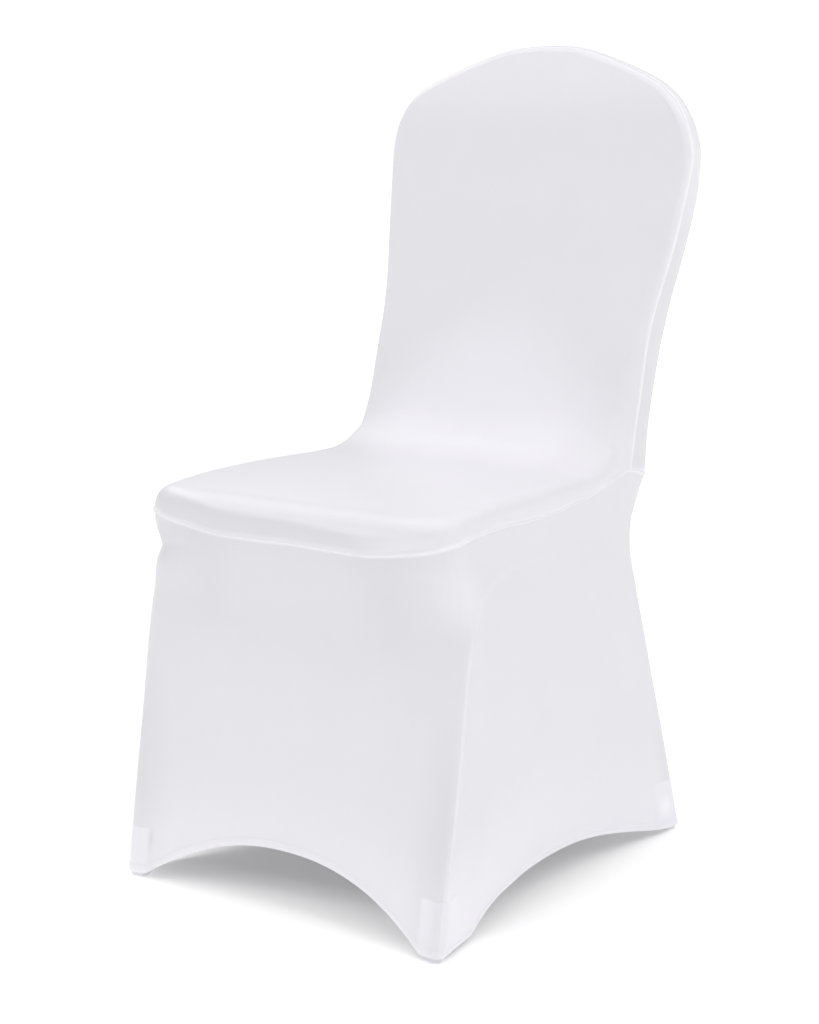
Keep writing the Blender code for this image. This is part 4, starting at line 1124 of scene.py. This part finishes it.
# the rear panel is greyer below the crown: painted shade on the back and its side bands
facts = {"pattern": pattern_of(pattern, loop, inward, from_seam, total),
         "thin_and_shade": 1.2 * fade_out(rear_points[:, 2], 0.70, 0.10), "doubled_and_light": seam_layers_and_highlight(np.minimum(far_up, far_side))}
rear_cloth = make_sheet("rear_cloth", rear_points, np.vstack([quads(grid), quads(rims)[:, INSIDE_OUT]]),
                        np.maximum(ridge(far_up) * foot_ridge, ridge(far_side)), 0 * far_up, edge_out, facts,
                        panel_knit, "rear_panel")

# %% [markdown]
# ## Foot cups
# A cup of doubled cloth sits inside each corner of the skirt, open at the top. Its sole lies on the floor and
# shows as a thin lip under the hem. Each cup is a stack of plan loops: two walls along the inside of the
# skirt, two across the corner, with rounded corners and a tucked sole. A bevelled box would stand off the
# skirt, so the loops are taken from the skirt's own cuts.

# %% Walls of a cup
CUP = {"height": [0.0, 0.006, 0.022, 0.042, 0.062], "side": [0.0185, 0.0215, 0.0260, 0.0285, 0.0295]}
LINING, CUP_GAP, CUP_ROUND, CUP_BLUNT, SOLE, SOLE_TUCK, LEAN = 0.0015, 0.0004, 0.006, 0.004, 0.0020, 0.0015, 1.05
TUCK_HIGH, RIM_HIGH = 0.003, 0.0008
SOLE_ROWS, RIM_ROWS = np.array([0.0, 0.0003, 0.0008, 0.0016, 0.003]), np.array([0.0008, 0.0003, 0.0])


def cup_loop(column, height, side, inset_by):
    """Plan loop of a cup at one height, right side."""
    line = np.array([read_at(height / SEAM_Z[i], LEVELS, CUTS[:, i]) for i in range(COLS)])
    line = line + turned_left(unit(np.gradient(line, axis=0))) * (CLOTH * LEAN + CUP_GAP + inset_by)
    d = lengths(line)
    d = d - d[column]
    walls = read_at(np.linspace(-1, 1, 33) * (side - CUP_ROUND), d, line)
    ends = read_at([-side, side], d, line)
    outer = walls[len(walls) // 2]
    inner = ends[0] + ends[1] - outer - unit(ends.mean(axis=0) - outer) * CUP_BLUNT

    def rounded(before, corner, after):
        return bend(corner + unit(before - corner) * CUP_ROUND, corner, corner + unit(after - corner) * CUP_ROUND,
                    np.linspace(0, 1, 9)[:, None])

    def straight(a, b):
        w = np.linspace(0, 1, 7)[1:-1, None]
        return a * (1 - w) + b * w

    b1, b2, b3 = (rounded(walls[-1], ends[1], inner), rounded(ends[1], inner, ends[0]),
                  rounded(inner, ends[0], walls[0]))
    return np.vstack([walls, b1[1:], straight(b1[-1], b2[0]), b2, straight(b2[-1], b3[0]), b3[:-1]])


def inset_loop(loop, by):
    return loop + turned_left(unit(np.roll(loop, -1, axis=0) - np.roll(loop, 1, axis=0))) * by


# %% The four cups

def make_cup(foot):
    """One cup: up its outside, over the rim, down its inside, and a disc for each face of the sole."""
    right_side, top = foot.endswith("right"), CUP_TOP[foot]
    column = CORNER_COL if foot.startswith("front") else REAR_COL
    heights = np.concatenate([SOLE_ROWS, np.linspace(0.006, top - 0.0015, 16), top - RIM_ROWS])
    sides = np.interp(heights / (top / CUP["height"][-1]), CUP["height"], CUP["side"])
    tucks = SOLE_TUCK * np.clip(1 - heights / TUCK_HIGH, 0, 1) ** 2
    rims = LINING / 2 * np.clip(1 - (top - heights) / RIM_HIGH, 0, 1) ** 2
    rows = list(zip(heights, sides, tucks, rims))
    stack = [(z, cup_loop(column, z, side - tuck * 0.5, tuck * 0.7 + rim)) for z, side, tuck, rim in rows]
    stack += [(z, inset_loop(cup_loop(column, z, side, 0.0), LINING - rim))
              for z, side, _, rim in rows[::-1] if z >= SOLE]
    stack.append((SOLE, inset_loop(cup_loop(column, SOLE, CUP["side"][0], 0.0), LINING + 0.001)))
    points = np.vstack([np.column_stack([loop, np.full(len(loop), z)]) for z, loop in stack])
    if not right_side:
        points = points * MIRROR
    rings = numbered(len(stack), len(stack[0][1]))
    faces = quads(rings, round_cols=True)[:, INSIDE_OUT]
    faces = (faces[:, ::-1] if right_side else faces).tolist()
    for ring, up in ((rings[0], False), (rings[-1], True)):
        points = np.vstack([points, points[ring].mean(axis=0)])
        for a, b in zip(ring, np.roll(ring, -1)):
            disc = [a, b, len(points) - 1]
            faces.append(disc if up == right_side else disc[::-1])
    round_it = lengths(np.vstack([stack[0][1], stack[0][1][:1]]))[:-1]
    u = np.concatenate([np.minimum(round_it, round_it[-1] - round_it)] * len(stack) + [[0.0, 0.0]])
    pattern = np.column_stack([u, points[:, 2] + points[:, 0] * 0.3, 0 * u])
    return make_mesh("cup_" + foot, points, faces, {"pattern": pattern}, cup_knit,
                     "foot_pocket_" + foot)


cups = [make_cup(foot) for foot in ("front_left", "front_right", "rear_left", "rear_right")]

# %% [markdown]
# ## Thread and turned folds
# The seams are closed with a fine overlock: from outside only the tips of the loops show, a row of tiny bars
# in the middle of the ridge, over the fine round fold of the turned edges. The hem is held by two rows of
# short straight stitches. Each row is one joined mesh of little pointed rods, since thousands of separate
# curves would be slow to draw.

# %% Thread material
thread, tree, shader = new_material("polyester_thread")
twist = put(tree, "ShaderNodeTexWave", place_at(tree), 900.0, 1.0, out=1)
tree.links.new(grey(tree, put(tree, "ShaderNodeMapRange", twist, 0.0, 1.0, 0.84, 0.92)), shader["Base Color"])
shader["Roughness"].default_value = 0.45

# %% Rows of stitches
STITCH_PITCH, STITCH_HALF, STITCH_SLANT = 0.0012, 0.0006, 0.0004
FOLD_RADIUS, FOLD_AROUND = 0.0012, 8
# a rod's rings: share of its length, share of its rise, and share of its thickness
ROD_CORNERS, ROD = 5, ((0.0, 0.0, 0.35), (0.2, 0.8, 1.0), (0.5, 1.0, 1.0), (0.8, 0.8, 1.0), (1.0, 0.0, 0.35))


def stitches(name, starts, ends, normals, radius, rise):
    """One mesh of short rods from start to end, each a little arch that stands on the cloth."""
    side = unit(np.cross(unit(ends - starts), normals))
    points = []
    for share, high, thick in ROD:
        middle = starts + (ends - starts) * share + normals * (rise * high)
        points += [middle + (side * np.cos(a) + normals * np.sin(a)) * (radius * thick)
                   for a in np.arange(ROD_CORNERS) * 2 * np.pi / ROD_CORNERS]
    block, count = len(points), len(starts)
    firsts = np.arange(count) * block
    one = quads(numbered(len(ROD), ROD_CORNERS), round_cols=True)
    cap = np.arange(ROD_CORNERS)
    faces = (one[None] + firsts[:, None, None]).reshape(-1, 4).tolist()
    faces += (firsts[:, None] + cap[::-1]).tolist() + (firsts[:, None] + block - ROD_CORNERS + cap).tolist()
    return make_mesh(name, np.array(points).transpose(1, 0, 2).reshape(-1, 3), faces, {}, thread)


def even_points(line, normals, pitch, closed=False):
    """Evenly spaced points on a line and the cloth's direction there."""
    d = lengths(line)
    n = int(d[-1] / pitch)
    at = np.arange(n) * d[-1] / n if closed else np.linspace(0, d[-1], n)
    return read_at(at, d, line), unit(read_at(at, d, normals)), at


# %% Thread along the seams

def round_once(half):
    """The ring with its first row again at the end."""
    return np.concatenate([whole_ring(half), half[:1]])


bars, folds = [], []
for seam_line, seam_out, high in (
        (round_once(RING_SEAM), round_once(RING_OUT), round_once(RING_RIDGE)),
        (both_halves(UP_SEAM), both_halves(UP_OUT), np.ones(2 * len(UP_SEAM) - 1))):
    p, n, at = even_points(seam_line, seam_out, STITCH_PITCH)
    high = np.interp(at, lengths(seam_line), high)
    run = unit(np.gradient(p, axis=0))
    slant = unit(np.cross(run, n)) * STITCH_HALF + run * STITCH_SLANT
    core = p + n * (RIDGE_HIGH * high - RIDGE_DIP - FOLD_RADIUS * 0.62)[:, None]
    crest = core + n * FOLD_RADIUS * 0.9
    bars.append((crest - slant, crest + slant, n))
    folds.append((core, n))
seam_thread = stitches("seam_thread", *(np.vstack(rows) for rows in zip(*bars)), 0.00024, 0.00018)

# %% The turned folds


def turned_fold(name, core, out, closed):
    """A round fold along a seam: one ring of points for each second stitch."""
    core, out = core[::2], out[::2]
    side = unit(np.cross(unit(np.gradient(core, axis=0)), out))
    angles = np.linspace(0, 2 * np.pi, FOLD_AROUND + 1)[:-1]
    rings = np.stack([core + (side * np.cos(a) + out * np.sin(a)) * FOLD_RADIUS for a in angles], 1)
    numbers = numbered(*rings.shape[:2])
    faces = quads(numbers, closed, True).tolist()
    if not closed:
        faces += [numbers[0, ::-1], numbers[-1]]
    s = np.repeat(lengths(core)[:, None], FOLD_AROUND, 1)
    flat = np.stack([s, np.broadcast_to(angles * FOLD_RADIUS, s.shape), s * 0], -1).reshape(-1, 3)
    return make_mesh(name, rings.reshape(-1, 3), faces, {"pattern": flat}, fold_knit)


ring_fold = turned_fold("ring_seam_fold", folds[0][0][:-1], folds[0][1][:-1], True)
back_fold = turned_fold("back_seam_fold", *folds[1], False)

# %% Hem stitches
HEM_LINES, HEM_PITCH = (0.0052, 0.0068), 0.0026
face_count = ring_cols * ring_rows
face_rows = np.array([[*v.co, *v.normal] for v in skirt_cloth.data.vertices[:face_count]]) - [0, CENTRE_Y, 0, 0, 0, 0]
face_rows = face_rows.reshape(ring_cols, ring_rows, 6)


def hem_row(distance):
    """The line on the skirt's finished face at one distance above the hem's edge."""
    at = np.array([read_at(distance, d, rows) for rows, d in zip(face_rows, above_hem)])
    at = np.vstack([at, at[:1]])
    return at[:, :3], at[:, 3:]


rods = []
for distance in HEM_LINES:
    p, n, _ = even_points(*hem_row(distance), HEM_PITCH, True)
    step = np.roll(p, -1, axis=0) - p
    rods.append((p + step * 0.08, p + step * 0.88, n))
hem_thread = stitches("hem_thread", *(np.vstack(rows) for rows in zip(*rods)), 0.00017, 0.00015)

# %% [markdown]
# ## The sheets
# A stretch cover is cut smaller than the chair and pulled tight, here by about a tenth each way. This cell only
# counts the sheets. The mesh could be unrolled, but that would give the stretched piece and not the one that is
# cut.

# %% Count of sheets
print("sheets", 3 + len(cups))

# %% [markdown]
# ## Stage, light and camera
# White cloth on a white floor is lit almost evenly. The world gives the even part, with a bright band low down
# that stands for the studio's walls. Large soft lights from both sides and the front model the folds, and the
# floor sends light back up. It glows a little, more so far off, so that it stays white up to the horizon, and
# a little less under the cover. An image of a studio would light it as well, but a plain sky and four lamps are
# easier to tune. The camera stands about 36 degrees round from the front and 9 degrees up.

# %% Floor
FLOOR_SIDE, GLOW_NEAR, GLOW_FAR = 300.0, 0.238, 0.60
floor_mesh = bpy.data.meshes.new("studio_floor")
floor_mesh.from_pydata([(x * FLOOR_SIDE, y * FLOOR_SIDE, 0) for x, y in ((-1, -1), (1, -1), (1, 1), (-1, 1))], [],
                       [(0, 1, 2, 3)])
floor = bpy.data.objects.new("studio_floor", floor_mesh)
bpy.context.scene.collection.objects.link(floor)
paper, tree, shader = new_material("pale_floor")
grain = put(tree, "ShaderNodeTexNoise", place_at(tree), None, 30.0, 2.0, 0.5)
tree.links.new(grey(tree, ramp(tree, grain, 0.0, 1.0, 0.925, 0.935)), shader["Base Color"])
shader["Roughness"].default_value = 0.9
shader["Specular IOR Level"].default_value = 0.1
shader["Emission Color"].default_value = (1.0, 1.0, 1.0, 1.0)

# %% Glow of the floor
reach = put(tree, "ShaderNodeVectorMath", place_at(tree), operation="LENGTH", out=1)
floor_x, floor_y = put(tree, "ShaderNodeSeparateXYZ", place_at(tree)).node.outputs[:2]
slant = maths(tree, "MULTIPLY_ADD", floor_x, -0.2, floor_y)
behind = maths(tree, "MULTIPLY_ADD", floor_y, 0.74, floor_x)
glow = ramp(tree, reach, 1.5, 6.0, GLOW_NEAR, GLOW_FAR)
# patches that glow more or less, each the product of its ramps: painted light ahead of the cover, painted shadow
# beneath it and beside it
for patch_ramps in (
        ((slant, -0.215, -0.165, 1.0, 0.0), (floor_y, -0.400, -0.330, 0.0, 0.095), (floor_x, 0.16, 0.21, 1.0, 0.0)),
        ((slant, -0.170, -0.140), (floor_x, 0.10, 0.17, -0.05, 0.0), (behind, -0.400, -0.370),
         (floor_y, 0.17, 0.23, 1.0, 0.0)),
        ((floor_x, 0.165, 0.21), (floor_x, 0.23, 0.28, -0.03, 0.0))):
    patch_glow = ramp(tree, *patch_ramps[0])
    for row in patch_ramps[1:]:
        patch_glow = maths(tree, "MULTIPLY", patch_glow, ramp(tree, *row))
    glow = maths(tree, "ADD", glow, patch_glow)
tree.links.new(glow, shader["Emission Strength"])
floor_mesh.materials.append(paper)
floor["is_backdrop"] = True

# %% World
SKY_HORIZON, SKY_LOW, SKY_TOP = 1.06, 0.21, 0.735
scene = bpy.context.scene
world = bpy.data.worlds.new("soft_world")
scene.world = world
world.use_nodes = True
sky = next(x for x in world.node_tree.nodes if x.type == "BACKGROUND")
tree = world.node_tree
up = put(tree, "ShaderNodeSeparateXYZ", put(tree, "ShaderNodeTexCoord", out=0), out=2)
glow = maths(tree, "MAXIMUM", ramp(tree, up, 0.14, 0.20, SKY_HORIZON, SKY_LOW),
             ramp(tree, up, 0.40, 0.55, SKY_LOW, SKY_TOP))
tree.links.new(grey(tree, glow), sky.inputs["Color"])
sky.inputs["Strength"].default_value = 1.0

# %% Lights
LIGHT_AWAY, LIGHT_SIZE, LIGHT_AIM = 3.0, 2.0, Vector((0, 0, 0.4))


def toward(azimuth, elevation):
    """Direction from the cover to a light or the camera: 0 looks from the front, 90 from its right."""
    return Vector((math.sin(azimuth) * math.cos(elevation), -math.cos(azimuth) * math.cos(elevation),
                   math.sin(elevation)))


for name, azimuth, elevation, power in (("right_key", 90, 50, 20.2), ("left_key", -90, 52, 19.0),
                                        ("front_key", 0, 45, 12.9), ("rear_fill", 135, 45, 3.0)):
    back = toward(math.radians(azimuth), math.radians(elevation))
    lamp = bpy.data.lights.new(name, "AREA")
    lamp.size, lamp.energy = LIGHT_SIZE, power
    light = bpy.data.objects.new(name, lamp)
    light.location = LIGHT_AIM + back * LIGHT_AWAY
    light.rotation_euler = back.to_track_quat("Z", "Y").to_euler()
    scene.collection.objects.link(light)
scene.view_settings.view_transform = "Standard"
scene.view_settings.look = "None"
scene.view_settings.exposure = 0.0

# %% Camera
AZIMUTH, ELEVATION, ROLL, DISTANCE = math.radians(36.4335), math.radians(9.1474), math.radians(0.5141), 2.152
FOCAL_PX, IMAGE_LONG, SENSOR = 1918.64, 1024, 36.0
AIM_ACROSS, AIM_HEIGHT = -0.0028, 0.4028
back = toward(AZIMUTH, ELEVATION)
right_flat = Vector((math.cos(AZIMUTH), math.sin(AZIMUTH), 0))
up_flat = back.cross(right_flat)
right_axis = right_flat * math.cos(ROLL) + up_flat * math.sin(ROLL)
up_axis = up_flat * math.cos(ROLL) - right_flat * math.sin(ROLL)
camera_data = bpy.data.cameras.new("camera")
camera_data.sensor_width, camera_data.lens = SENSOR, FOCAL_PX * SENSOR / IMAGE_LONG
camera = bpy.data.objects.new("camera", camera_data)
place = Matrix((right_axis, up_axis, back)).transposed().to_4x4()
place.translation = right_flat * AIM_ACROSS + Vector((0, CENTRE_Y, AIM_HEIGHT)) + back * DISTANCE
camera.matrix_world = place
scene.collection.objects.link(camera)
scene.camera = camera
print("camera at", [round(v, 3) for v in camera.location], "lens", round(camera_data.lens, 2), "mm")

# %% Sizes and finish
low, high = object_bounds()
print("visual model", [round(b - a, 4) for a, b in zip(low, high)])
